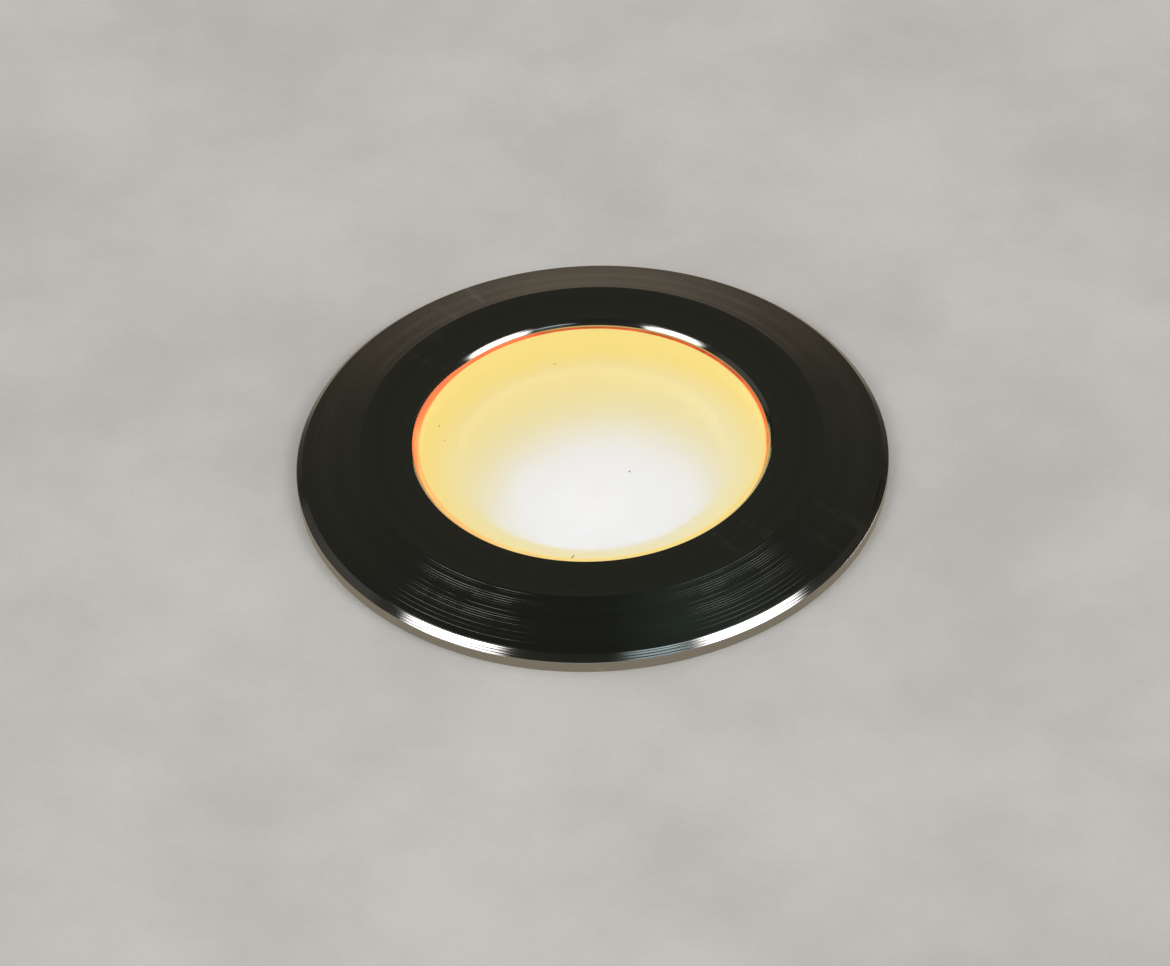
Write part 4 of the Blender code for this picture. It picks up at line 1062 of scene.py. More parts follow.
# Painted glow on the lens's ground rim, yellow turning orange at its edge
LENS_RIM_GLOW = Glow(
    "lens_rim_painted_glow", (0.10, 0.06, 0.03),
    ((0.0, screen(245, 219, 132)), (0.925, screen(245, 219, 132)), (0.96, screen(252, 190, 112)),
     (1.0, screen(250, 160, 92))),
    reach=RING_REACH, strength=0.95, roughness=0.5, centre=(0.0004, -0.0004))
# Amber silicone with painted glow, falling to dark red at its outer edge and darkest at the back
AMBER_SILICONE_GLOW = Glow(
    "amber_silicone", (0.50, 0.12, 0.04),
    ((0.0, screen(243, 172, 100)), (0.949, screen(243, 168, 97)), (0.957, screen(241, 150, 84)),
     (0.968, screen(246, 124, 68)), (0.984, screen(214, 104, 70)), (1.0, screen(110, 44, 24))),
    reach=RING_REACH, strength=0.8, roughness=0.35, centre=(-0.0001, -0.0005))
# Painted glow on the cup: the source's light, white near the axis and yellow up the wall
REFLECTOR_GLOW = Glow(
    "reflector_film", (0.06, 0.06, 0.055),
    ((0.0, CORE_LIGHT), (0.46, CORE_LIGHT), (0.56, screen(241, 238, 226)), *YELLOW_STOPS),
    reach=GLOW_REACH, strength=1.05, roughness=0.55, centre=GLOW_CENTRE)
LED_PHOSPHOR = Glow("led_phosphor", (0.20, 0.17, 0.07), ((0.0, CORE_LIGHT), (1.0, CORE_LIGHT)),
                    reach=0.010, strength=1.0, roughness=0.3)
# Painted light from the source on its package and its board, white near the axis
LIT_BOARD_GLOW = Glow(
    "board_painted_light", (0.10, 0.10, 0.09),
    ((0.0, CORE_LIGHT), (0.55, CORE_LIGHT), (1.0, (0.2, 0.18, 0.12))),
    reach=0.0154, strength=1.05, centre=(0.0008, -0.0007))


@dataclass
class Trim:
    """The bezel with the lens, the bead round the lens and the gaskets that it carries."""

    rim_height: float = 0.0012
    rim_chamfer: float = 0.00065
    flat_radius: float = 0.0234
    aperture_chamfer: float = 0.00045
    lip_radius: float = 0.0179
    lip_height: float = 0.0003
    seat_radius: float = 0.0186
    ledge_top: float = -0.00183
    ledge_radius: float = 0.0152
    ledge_thickness: float = 0.0012
    bore_radius: float = 0.0160
    neck_radius: float = 0.0202
    groove_depth: float = 0.00145
    groove_top: float = -0.00363
    groove_bottom: float = -0.00543
    recess_radius: float = 0.0272
    recess_depth: float = 0.0012
    edge_ease: float = 0.00004
    lens_bevel: float = 0.00025
    lens_shift: Vector = Vector((-0.00002, -0.00006, 0.0))
    margin_radius: float = 0.01378
    bead_clearance: float = 0.00002
    bead_hollow: float = 0.00012
    smear_shift: Vector = Vector((0.00016, -0.00002, 0.0))
    smear_lift: float = 0.00006

    def build(self) -> None:
        """Builds and installs every piece of the trim."""
        self.build_bezel()
        self.build_lens()
        self.build_bead()
        self.build_gaskets()

    def build_bezel(self) -> None:
        """Turns the bezel, with the groove round its neck."""
        reach = Span.of("bezel")
        groove_radius = self.neck_radius - self.groove_depth
        lip_top = reach.top - self.aperture_chamfer
        lip_bottom = lip_top - self.lip_height
        ledge_bottom = self.ledge_top - self.ledge_thickness
        bezel = turned("bezel_ring", [
            (reach.radius, 0.0),
            (reach.radius, self.rim_height),
            (reach.radius - self.rim_chamfer, self.rim_height + self.rim_chamfer),
            (self.flat_radius, reach.top),
            (self.lip_radius + self.aperture_chamfer, reach.top),
            (self.lip_radius, lip_top),
            (self.lip_radius, lip_bottom),
            (self.seat_radius, lip_bottom),
            (self.seat_radius, self.ledge_top),
            (self.ledge_radius, self.ledge_top),
            (self.ledge_radius, ledge_bottom),
            (self.bore_radius, ledge_bottom),
            (self.bore_radius, reach.bottom),
            (self.neck_radius, reach.bottom),
            (self.neck_radius, self.groove_bottom),
            (groove_radius, self.groove_bottom),
            (groove_radius, self.groove_top),
            (self.neck_radius, self.groove_top),
            (self.neck_radius, self.recess_depth),
            (self.recess_radius, self.recess_depth),
            (self.recess_radius, 0.0),
        ], FINEST)
        soften(bezel, self.edge_ease, 3, 12.0)
        STEEL.dress(bezel)
        install(bezel, "lamp", ["bezel"])

    def build_lens(self) -> None:
        """Turns the lens, with painted glow at its ground rim and where it lies on its gasket."""
        reach = Span.of("lens")
        lens = turned("lens_glass", [
            (self.margin_radius, reach.bottom),
            (reach.radius, reach.bottom),
            (reach.radius, reach.top - self.lens_bevel),
            (reach.radius - self.lens_bevel, reach.top),
        ], FINEST, Ends.CAPPED)
        apply_place(lens, self.lens_shift)
        LENS_FACE.dress(lens)
        # The margin and the rim wear painted glow; the underside is etched glass
        for finish in (LENS_MARGIN_GLOW, LENS_UNDERSIDE, LENS_RIM_GLOW):
            lens.data.materials.append(finish.material())
        self.mark_faces(lens, reach)
        shade(lens, 20)
        install(lens, "lamp", ["lens"])

    def mark_faces(self, lens: Piece, reach: Span) -> None:
        """Gives the gasket ring, side and rim painted glow, and the rest of the underside its
        etched finish.

        Args:
            lens: The lens.
            reach: How far its solid reaches.
        """
        for face in lens.data.polygons:
            away = (face.center - self.lens_shift).xy.length
            if abs(face.center.z - reach.bottom) < NEAR:
                face.material_index = 1 if away > self.margin_radius - NEAR else 2
            elif face.center.z < reach.top - self.lens_bevel:
                face.material_index = 1
            elif face.center.z < reach.top - NEAR:
                face.material_index = 3

    def build_bead(self) -> None:
        """Turns the bead of silicone that fills the gap round the lens."""
        reach = Span.of("lens_seal")
        inner = Span.of("lens").radius + self.bead_clearance
        outer = self.seat_radius - self.bead_clearance
        middle = (inner + outer) / 2
        bead = turned("lens_bead", [
            (outer, reach.bottom),
            (outer, reach.top),
            *[(middle + x * (outer - middle), reach.top - self.bead_hollow * (1 - x * x))
              for x in (0.75, 0.4, 0.0, -0.4, -0.75)],
            (inner, reach.top),
            (inner, reach.bottom),
        ], FINE)
        open_editing(bead)
        pick(bead, Element.VERT, lambda place: place.xy.length < middle)
        bpy.ops.transform.translate(value=self.lens_shift)
        close_editing()
        join_shapes(bead, [self.build_smear(reach)], Joining.WELD)
        shade(bead, 40)
        # The bead and its smear wear amber silicone with painted glow
        AMBER_SILICONE_GLOW.dress(bead)
        install(bead, "lamp", ["lens_seal"])

    def build_smear(self, reach: Span) -> Piece:
        """Turns the silicone that was squeezed out over the inner chamfer, mostly on one side.

        Args:
            reach: How far the bead's solid reaches.

        Returns:
            The ring, which lies inside the bezel's lip except on that side.
        """
        top = Span.of("bezel").top
        sunk = self.smear_lift
        smear = turned("smear", [
            (self.lip_radius + sunk, reach.top - self.bead_hollow * 2),
            (self.lip_radius + sunk, top - self.aperture_chamfer - sunk),
            (self.lip_radius + self.aperture_chamfer + sunk * 2, top - sunk),
            (self.seat_radius - sunk, top - self.aperture_chamfer),
            (self.seat_radius - sunk, reach.top - self.bead_hollow * 2),
        ], FINE)
        return apply_place(smear, self.smear_shift)

    def build_gaskets(self) -> None:
        """Dresses the gasket under the lens, the one under the flange and the ring in the neck."""
        for node, finish in (("lens_gasket", GREY_SILICONE), ("flange_gasket", BLACK_RUBBER),
                             ("neck_o_ring", BLACK_RUBBER)):
            finish.dress(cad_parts[node])
            log.info("%s dresses %s", finish.name, node)


@dataclass
class LightEngine:
    """The cup under the lens with painted glow on it, and the light source and its board in it."""

    wall: float = 0.0008
    throat: float = 0.0042
    flange_radius: float = 0.0157
    flange_top: float = -0.00333
    collar_radius: float = 0.0149
    curve_steps: int = 16
    rim_ease: float = 0.00012
    package_inset: float = 0.0005
    package_well: float = 0.00015
    dome_steps: int = 12

    def build(self) -> None:
        """Builds and installs the cup and the light source."""
        self.build_cup()
        self.build_source()

    def build_cup(self) -> None:
        """Turns the cup: a parabola with a flange, and a collar up to the lens."""
        reach = Span.of("reflector")
        collar = self.collar_radius
        mouth = collar - self.wall
        curve = []
        for k in range(self.curve_steps + 1):
            radius = self.throat + (mouth - self.throat) * k / self.curve_steps
            rise = (radius ** 2 - self.throat ** 2) / (mouth ** 2 - self.throat ** 2)
            level = reach.bottom + (self.flange_top - self.wall - reach.bottom) * rise
            curve.append((radius, level))
        inner = [(radius, level + self.wall) for radius, level in curve]
        cup = turned("reflector_cup", [
            *curve,
            (self.flange_radius, self.flange_top - self.wall),
            (self.flange_radius, self.flange_top),
            (collar, self.flange_top),
            (collar, reach.top),
            (mouth, reach.top),
            *inner[::-1],
        ])
        soften(cup, self.rim_ease, 2, 25)
        # The cup wears painted glow that stands for the source's light on it
        REFLECTOR_GLOW.dress(cup)
        install(cup, "lamp", ["reflector"])

    def build_source(self) -> None:
        """Models the ceramic package with its well, and the dome over it."""
        low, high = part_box("led_package")
        package = brick("led_base", high - low, (high + low) / 2)
        open_editing(package)
        pick(package, Element.FACE, lambda middle: middle.z > high.z - self.package_well)
        bpy.ops.mesh.inset(thickness=self.package_inset)
        bpy.ops.mesh.extrude_region_move(
            TRANSFORM_OT_translate={"value": (0, 0, -self.package_well)})
        close_editing()
        soften(package, self.rim_ease / 2)
        # The package wears painted light from the source
        LIT_BOARD_GLOW.dress(package)
        install(package, "lamp", ["led_package"])
        reach = Span.of("led_dome")
        dome = turned("led_lens", arc((0, reach.bottom), reach.radius, 0, 85, self.dome_steps),
                      MEDIUM, Ends.POINTED)
        shade(dome, 40)
        LED_PHOSPHOR.dress(dome)
        install(dome, "lamp", ["led_dome"])


@dataclass
class Can:
    """The housing with its cooling grooves, the set screws, the leaf springs and their rivets."""

    inner: float = 0.0205
    inner_bottom: float = -0.05553
    gland_hole: float = 0.0063
    edge: float = 0.0010
    groove_bottoms: tuple[float, ...] = (-0.05203, -0.04903, -0.04603)
    groove_height: float = 0.0014
    groove_depth: float = 0.0007
    flat_reach: float = 0.0214
    flat_span: Stretch = (-0.0345, -0.0095)
    rivet_level: float = -0.0130
    rivet_hole: float = 0.0012
    screw_level: float = -0.00833
    screw_hole: float = 0.0017
    screw_radius: float = 0.0015
    screw_span: Stretch = (0.0188, 0.0218)
    socket_radius: float = 0.0008
    socket_depth: float = 0.0014
    overrun: float = 0.0010
    ease: float = 0.00012
    leaf_face: float = 0.02205
    leaf_thickness: float = 0.0005
    leaf_width: float = 0.0060
    leaf_tab: float = 0.0054
    leaf_length: float = 0.0180
    leaf_bow: float = 0.00262
    leaf_apex: float = 0.68
    leaf_steps: int = 24
    leaf_hole: float = 0.0014
    leaf_corner: float = 0.0012
    rivet_radius: float = 0.0010
    rivet_start: float = 0.0207
    rivet_head: Stretch = (0.0227, 0.0234)
    rivet_head_radius: float = 0.0019

    def build(self) -> None:
        """Builds and installs the can and what is fixed to its side."""
        self.build_can()
        self.build_set_screws()
        self.build_springs()
        self.build_rivets()

    def build_can(self) -> None:
        """Turns the can, mills its flats and drills its side."""
        reach = Span.of("housing")
        outline = [(self.gland_hole, reach.bottom), (reach.radius - self.edge, reach.bottom),
                   (reach.radius, reach.bottom + self.edge)]
        for bottom in self.groove_bottoms:
            floor = reach.radius - self.groove_depth
            top = bottom + self.groove_height
            outline += [(reach.radius, bottom), (floor, bottom), (floor, top), (reach.radius, top)]
        outline += [(reach.radius, reach.top), (self.inner, reach.top),
                    (self.inner, self.inner_bottom), (self.gland_hole, self.inner_bottom)]
        can = turned("housing_can", spaced(outline))
        soften(can, self.ease, 2)
        low, high = self.flat_span
        depth = reach.radius + self.overrun - self.flat_reach
        size = Vector((depth, reach.radius, high - low))
        middle = Vector((self.flat_reach + depth / 2, 0, (low + high) / 2))
        tools = [brick("flat", size, middle, angle) for angle in CLIP_ANGLES]
        for angles, radius, level in ((CLIP_ANGLES, self.rivet_hole, self.rivet_level),
                                      (SCREW_ANGLES, self.screw_hole, self.screw_level)):
            for angle in angles:
                start = around(self.inner - self.overrun, angle, level)
                end = around(reach.radius + self.overrun, angle, level)
                tools.append(rod("drill", radius, start, end))
        join_shapes(can, tools, Joining.CARVE)
        shade(can)
        ANODISED.dress(can)
        install(can, "lamp", ["housing"])

    def build_set_screws(self) -> None:
        """Models one socket set screw and copies it round the neck."""
        inner, outer = self.screw_span
        start, floor, end, beyond = [
            around(reach, 0, self.screw_level)
            for reach in (inner, outer - self.socket_depth, outer, outer + self.overrun)]
        screw = rod("screw", self.screw_radius, start, end)
        soften(screw, self.ease * 2, 3)
        join_shapes(screw, [rod("socket", self.socket_radius, floor, beyond, 6)], Joining.CARVE)
        shade(screw)
        PLATED_STEEL.dress(screw)
        for copy in copies_round(screw, "set_screw", SCREW_ANGLES):
            install(copy, "lamp", [f"bezel_{copy.name}"])

    def build_springs(self) -> None:
        """Models one leaf spring, from its tab down along its bow, and copies it round the can."""
        tab_middle = Vector((self.leaf_face, 0, self.rivet_level))
        leaf = brick(
            "leaf", Vector((self.leaf_thickness, self.leaf_width, self.leaf_tab)), tab_middle)
        open_editing(leaf)
        tab_bottom = self.rivet_level - self.leaf_tab / 2
        pick(leaf, Element.FACE, lambda middle: middle.z < tab_bottom + self.ease)
        bow = 0.0
        for k in range(1, self.leaf_steps + 1):
            next_bow = self.leaf_bow * math.sin(math.pi / 2 * k / self.leaf_steps / self.leaf_apex)
            step = (next_bow - bow, 0, -self.leaf_length / self.leaf_steps)
            bpy.ops.mesh.extrude_region_move(TRANSFORM_OT_translate={"value": step})
            bow = next_bow
        top = self.rivet_level + self.leaf_tab / 2
        bottom = tab_bottom - self.leaf_length
        beside = self.leaf_width / 2 - self.ease
        pick(leaf, Element.EDGE, lambda middle: abs(middle.y) > beside and (
            middle.z > top - self.ease or middle.z < bottom + self.ease))
        bpy.ops.mesh.bevel(offset=self.leaf_corner, segments=6)
        close_editing()
        reach = Vector((self.overrun, 0, 0))
        hole = rod("hole", self.leaf_hole, tab_middle - reach, tab_middle + reach)
        join_shapes(leaf, [hole], Joining.CARVE)
        soften(leaf, self.ease / 2, 2, 35)
        SPRING_STEEL.dress(leaf)
        for number, copy in enumerate(copies_round(leaf, "leaf_spring", CLIP_ANGLES), 1):
            install(copy, f"clip_{number}", [f"spring_clip_{number}"])

    def build_rivets(self) -> None:
        """Turns one domed rivet and copies it round the can."""
        seat, crown = self.rivet_head
        rise = crown - seat
        sphere = (self.rivet_head_radius ** 2 + rise ** 2) / (2 * rise)
        opening = math.degrees(math.asin(self.rivet_head_radius / sphere))
        dome = arc((0, crown - sphere), sphere, 90 - opening, 89, 10)
        shank = [(self.rivet_radius, self.rivet_start), (self.rivet_radius, seat)]
        rivet = turned("rivet", [*shank, *dome], SMALL, Ends.POINTED)
        apply_place(rivet, upright(self.rivet_level), Vector((0, math.pi / 2, 0)))
        soften(rivet, self.ease / 2, 2, 40)
        PLATED_STEEL.dress(rivet)
        for copy in copies_round(rivet, "rivet", CLIP_ANGLES):
            install(copy, "lamp", [f"clip_{copy.name}"])


@dataclass
class CableGland:
    """The gland in the housing's bottom: body, locknut, sealing ring, seal and cap."""

    bore: float = 0.0038
    neck_radius: float = 0.0060
    barrel_radius: float = 0.0056
    thread_pitch: float = 0.00075
    thread_depth: float = 0.0003
    hex_radius: float = 0.0088
    hex_span: Stretch = (-0.06313, -0.05963)
    ring_bore: float = 0.0063
    seal_bore: float = 0.0036
    ease: float = 0.00020
    overrun: float = 0.0010
    cap_bore: float = 0.0059
    cap_floor: float = 0.0016
    cap_hole: float = 0.0040
    cap_edge: float = 0.0010
    flute_count: int = 6
    flute_radius: float = 0.0010
    flute_reach: float = 0.0085

    def build(self) -> None:
        """Builds and installs every piece of the gland."""
        self.build_body()
        self.build_locknut()
        self.build_rings()
        self.build_cap()

    def thread(self, radius: float, low: float, high: float) -> list[Station]:
        """Ridges of a thread between two levels.

        Args:
            radius: The thread's outer radius.
            low: Where it starts.
            high: Where it ends.

        Returns:
            The stations of its ridges, upwards.
        """
        stations = []
        for k in range(int((high - low) / self.thread_pitch)):
            for share, depth in ((0.08, self.thread_depth), (0.42, 0), (0.58, 0),
                                 (0.92, self.thread_depth)):
                stations.append((radius - depth, low + (k + share) * self.thread_pitch))
        return stations

    def build_body(self) -> None:
        """Turns the body with its threads and puts the hexagon round it."""
        reach = Span.of("gland_body")
        low, high = self.hex_span
        body = turned("gland_barrel", [
            (self.bore, reach.bottom),
            (self.barrel_radius - self.thread_depth, reach.bottom),
            *self.thread(self.barrel_radius, reach.bottom, low - self.thread_pitch),
            (self.barrel_radius, low),
            (self.barrel_radius, low + self.overrun),
            (self.neck_radius, low + self.overrun),
            (self.neck_radius, high + self.thread_pitch),
            *self.thread(self.neck_radius, high + self.thread_pitch, reach.top),
            (self.neck_radius - self.thread_depth, reach.top),
            (self.bore, reach.top),
        ], MEDIUM)
        collar = rod("hexagon", self.hex_radius, upright(low), upright(high), 6)
        apply_place(collar, turn=about_z(30))
        soften(collar, self.ease, 3)
        middle = (self.bore + self.barrel_radius) / 2
        room = rod("room", middle, upright(low - self.overrun), upright(high + self.overrun))
        join_shapes(collar, [room], Joining.CARVE)
        join_shapes(body, [collar], Joining.WELD)
        shade(body)
        GLAND_NYLON.dress(body)
        install(body, "lamp", ["gland_body"])

    def build_locknut(self) -> None:
        """Models the brass locknut inside the housing."""
        reach = Span.of("gland_locknut")
        nut = rod("locknut", self.hex_radius, upright(reach.bottom), upright(reach.top), 6)
        soften(nut, self.ease * 2, 3)
        tool = rod("bore", self.neck_radius + self.thread_depth,
                   upright(reach.bottom - self.overrun), upright(reach.top + self.overrun), MEDIUM)
        join_shapes(nut, [tool], Joining.CARVE)
        shade(nut)
        BRASS.dress(nut)
        install(nut, "lamp", ["gland_locknut"])

    def build_rings(self) -> None:
        """Turns the sealing ring over the hexagon and the seal in the cap."""
        for node, inner, finish in (("gland_sealing_ring", self.ring_bore, BLACK_RUBBER),
                                    ("gland_seal", self.seal_bore, GREY_SILICONE)):
            reach = Span.of(node)
            ring = turned(f"{node}_round", [(inner, reach.bottom), (reach.radius, reach.bottom),
                                            (reach.radius, reach.top), (inner, reach.top)], MEDIUM)
            soften(ring, self.ease, 3)
            finish.dress(ring)
            install(ring, "lamp", [node])

    def build_cap(self) -> None:
        """Turns the cap and cuts the flutes for the fingers."""
        reach = Span.of("gland_cap")
        inner_bottom = reach.bottom + self.cap_floor
        corner = (reach.radius - self.cap_edge, reach.bottom + self.cap_edge)
        cap = turned("gland_nut", [
            (self.cap_hole, reach.bottom),
            *arc(corner, self.cap_edge, 270, 360, 6),
            (reach.radius, reach.top),
            (self.cap_bore, reach.top),
            (self.cap_bore, inner_bottom),
            (self.cap_hole, inner_bottom),
        ], MEDIUM)
        soften(cap, self.ease, 2, 40)
        tools = []
        for k in range(self.flute_count):
            start, end = [
                around(self.flute_reach, 360 / self.flute_count * k, level)
                for level in (reach.bottom + 2 * self.cap_edge, reach.top + self.overrun)]
            tools.append(rod("flute", self.flute_radius, start, end))
        join_shapes(cap, tools, Joining.CARVE)
        shade(cap)
        GLAND_NYLON.dress(cap)
        install(cap, "cap", ["gland_cap"])


@dataclass
class Sleeve:
    """The sleeve that is cast into the floor, and the plug in its spare port."""

    pole_radius: float = 0.0004
    inner: float = 0.0254
    wall: float = 0.0015
    floor: float = 0.0020
    lead_in: float = 0.0005
    anchor_radius: float = 0.0301
    anchor_span: Stretch = (-0.0458, -0.0440)
    rib_count: int = 8
    rib_width: float = 0.0016
    rib_height: float = 0.0015
    rib_top: float = -0.0120
    port_level: float = -0.07873
    port_bore: float = 0.0062
    port_radius: float = 0.0079
    port_end: float = 0.0339
    drain_radius: float = 0.0019
    drain_reach: float = 0.0130
    drain_count: int = 4
    overrun: float = 0.0010
    ease: float = 0.00020
    plug_wall: float = 0.0014
    plug_stem: float = 0.0059
    plug_stem_end: float = -0.0287
    plug_seat: float = -0.0342

    def build(self) -> None:
        """Builds and installs the sleeve and the plug."""
        self.build_sleeve()
        self.build_plug()

    def build_sleeve(self) -> None:
        """Turns the sleeve, welds its ribs and ports on, then opens its room, ports and drains."""
        reach = Span.of("mounting_sleeve")
        outer = self.inner + self.wall
        low, high = self.anchor_span
        sleeve = turned("floor_sleeve", spaced([
            (self.pole_radius, reach.bottom),
            (outer, reach.bottom),
            (outer, low),
            (self.anchor_radius, low),
            (self.anchor_radius, high),
            (outer, high),
            (outer, reach.top),
        ]), FINE, Ends.CAPPED)
        soften(sleeve, self.ease, 3)
        root = outer - self.wall / 2
        depth = outer + self.rib_height - root
        rib_bottom = reach.bottom + self.floor / 2
        size = Vector((depth, self.rib_width, self.rib_top - rib_bottom))
        middle = Vector((root + depth / 2, 0, (self.rib_top + rib_bottom) / 2))
        shapes = []
        for k in range(self.rib_count):
            rib = brick("rib", size, middle)
            soften(rib, self.ease, 3)
            shapes.append(apply_place(rib, turn=about_z(360 * (k + 0.5) / self.rib_count)))
        port_root = math.sqrt(self.inner ** 2 - self.port_radius ** 2)
        for side in (90, 270):
            spigot = rod("spigot", self.port_radius, around(port_root, side, self.port_level),
                         around(self.port_end, side, self.port_level), MEDIUM)
            soften(spigot, self.ease, 3)
            shapes.append(spigot)
        join_shapes(sleeve, shapes, Joining.WELD)
        room_bottom = reach.bottom + self.floor
        room = turned("room", spaced([
            (self.pole_radius, room_bottom),
            (self.inner, room_bottom),
            (self.inner, reach.top - self.lead_in),
            (self.inner + self.lead_in, reach.top),
            (self.inner + self.lead_in, reach.top + self.overrun),
        ]), FINE, Ends.CAPPED)
        tools = [room]
        for side in (90, 270):
            wall_reach = math.sqrt(self.inner ** 2 - self.port_bore ** 2)
            start = around(wall_reach - self.overrun, side, self.port_level)
            end = around(self.port_end + self.overrun, side, self.port_level)
            tools.append(rod("bore", self.port_bore, start, end, MEDIUM))
        for k in range(self.drain_count):
            place = around(self.drain_reach, 360 * (k + 0.5) / self.drain_count, reach.bottom)
            step = upright(self.overrun)
            tools.append(rod("drain", self.drain_radius, place - step, place + step * 4))
        join_shapes(sleeve, tools, Joining.CARVE)
        shade(sleeve)
        SLEEVE_PLASTIC.dress(sleeve)
        install(sleeve, "sleeve", ["mounting_sleeve"])

    def build_plug(self) -> None:
        """Turns the push-in plug, lays it on its side and puts it into its port."""
        low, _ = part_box("port_plug")
        plug = turned("blanking_plug", [
            (self.port_radius, low.y),
            (self.port_radius, self.plug_seat),
            (self.plug_stem, self.plug_seat),
            (self.plug_stem, self.plug_stem_end),
            (self.plug_stem - self.plug_wall, self.plug_stem_end),
            (self.plug_stem - self.plug_wall, self.plug_seat),
        ], MEDIUM, Ends.CAPPED)
        soften(plug, self.ease, 3)
        apply_place(plug, upright(self.port_level), Vector((-math.pi / 2, 0, 0)))
        SLEEVE_PLASTIC.dress(plug)
        install(plug, "plug", ["port_plug"])


@dataclass(frozen=True)
class Leads:
    """The leads along each side of a package: how many, how far apart and how wide."""

    count: int
    pitch: float
    width: float


@dataclass
class InnerWorks:
    """The driver in the housing: parts on its board are modelled, plain solids are dressed."""

    can_ease: float = 0.0004
    crimp_level: float = 0.0015
    crimp_depth: float = 0.0004
    vent_width: float = 0.0002
    vent_depth: float = 0.0001
    stripe_angle: float = 18.0
    wire_radius: float = 0.0002
    winding_bore: float = 0.0022
    core_radius: float = 0.0019
    core_flange: float = 0.0010
    core_ease: float = 0.00015
    lead_reach: float = 0.00055
    lead_thickness: float = 0.00015
    body_lift: float = 0.0001
    chip_leads: Leads = Leads(count=4, pitch=0.00127, width=0.0004)
    rectifier_leads: Leads = Leads(count=2, pitch=0.0036, width=0.0009)

    def build(self) -> None:
        """Models the parts on the driver board and dresses every solid that stays."""
        self.build_capacitor()
        self.build_inductor()
        self.build_package("driver_chip", self.chip_leads)
        self.build_package("driver_rectifier", self.rectifier_leads)
        self.dress_solids()

    @staticmethod
    def foot(node: str) -> Vector:
        """The point on the board's plane Z = 0 that a solid stands over."""
        low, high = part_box(node)
        return Vector(((low.x + high.x) / 2, (low.y + high.y) / 2, 0))

    def build_capacitor(self) -> None:
        """Turns the can with its crimp and scores the vent in its bare top."""
        low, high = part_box("driver_capacitor")
        radius, ease, crimp = (high.x - low.x) / 2, self.can_ease, self.crimp_level
        can = turned("capacitor_can", [
            (radius - ease, low.z),
            (radius, low.z + ease),
            (radius, low.z + crimp - self.crimp_depth),
            (radius - self.crimp_depth, low.z + crimp),
            (radius, low.z + crimp + self.crimp_depth),
            (radius, high.z - ease),
            (radius - ease, high.z),
            (radius - ease * 2, high.z),
            (radius - ease * 2.2, high.z - self.vent_depth),
        ], SMALL, Ends.CAPPED)
        reach = Vector((radius * 1.1, self.vent_width, self.vent_depth * 4))
        cuts = [brick("score", reach, upright(high.z), turn) for turn in (45, 135)]
        join_shapes(can, cuts, Joining.CARVE)
        soften(can, self.can_ease / 4)
        CAPACITOR_SLEEVE.dress(can)
        for finish in (ALUMINIUM, CAPACITOR_STRIPE):
            can.data.materials.append(finish.material())
        for face in can.data.polygons:
            turn = math.degrees(math.atan2(face.center.y, face.center.x))
            if face.center.z > high.z - ease / 2 and face.center.xy.length < radius - ease * 1.5:
                face.material_index = 1
            elif abs(turn) < self.stripe_angle and face.center.z > low.z + crimp:
                face.material_index = 2
        apply_place(can, self.foot("driver_capacitor"))
        install(can, "lamp", ["driver_capacitor"])

    def build_inductor(self) -> None:
        """Turns the ferrite bobbin and the layers of wire wound on it."""
        low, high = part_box("inductor_core")
        radius, ease = (high.x - low.x) / 2, self.core_ease
        core = turned("inductor_bobbin", [
            (radius, low.z),
            (radius, low.z + self.core_flange),
            (self.core_radius, low.z + self.core_flange),
            (self.core_radius, high.z - self.core_flange),
            (radius, high.z - self.core_flange),
            (radius, high.z),
        ], SMALL, Ends.CAPPED)
        soften(core, ease)
        FERRITE.dress(core)
        apply_place(core, self.foot("inductor_core"))
        install(core, "lamp", ["inductor_core"])
        low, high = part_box("inductor_winding")
        middle = (high.x - low.x) / 2 - self.wire_radius
        turns = round((high.z - low.z) / (2 * self.wire_radius))
        outline = [(self.winding_bore, high.z), (self.winding_bore, low.z)]
        for k in range(turns):
            level = low.z + (2 * k + 1) * (high.z - low.z) / (2 * turns)
            outline += arc((middle, level), self.wire_radius, -80, 80, 4)
        winding = turned("inductor_turns", outline, SMALL)
        shade(winding, 60)
        COPPER.dress(winding)
        apply_place(winding, self.foot("inductor_winding"))
        install(winding, "lamp", ["inductor_winding"])

    def build_package(self, node: str, leads: Leads) -> None:
        """Models a moulded package with bent leads along two sides, inside its solid's box.

        Args:
            node: The solid it stands for.
            leads: Its leads.
        """
        low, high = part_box(node)
        size, middle = high - low, (high + low) / 2
        thick, side = self.lead_thickness, size.y / 2 - self.lead_reach
        height = size.z - self.body_lift
        body = brick(f"{node}_package", Vector((size.x, 2 * side, height)),
                     Vector((middle.x, middle.y, high.z - height / 2)))
        dot = Vector((low.x + thick * 5, middle.y - side + thick * 5, high.z))
        dimple = rod("dot", thick * 2, dot - upright(thick), dot + upright(thick))
        join_shapes(body, [dimple], Joining.CARVE)
        soften(body, thick / 2)
        stretches = (
            (side - thick, side + 2 * thick, middle.z, middle.z + thick),
            (side + thick, side + 2 * thick, low.z, middle.z + thick),
            (side + thick, size.y / 2, low.z, low.z + thick))
        bars = []
        for way in (-1, 1):
            for k in range(leads.count):
                across = middle.x + (k - (leads.count - 1) / 2) * leads.pitch
                for start, end, base, top in stretches:
                    along = middle.y + way * (start + end) / 2
                    bars.append(brick("lead", Vector((leads.width, end - start, top - base)),
                                      Vector((across, along, (base + top) / 2))))
        join_shapes(body, bars, Joining.WELD)
        BLACK_EPOXY.dress(body)
        body.data.materials.append(PLATED_STEEL.material())
        for face in body.data.polygons:
            if abs(face.center.y - middle.y) > side + thick / 10:
                face.material_index = 1
        shade(body, 50)
        install(body, "lamp", [node])

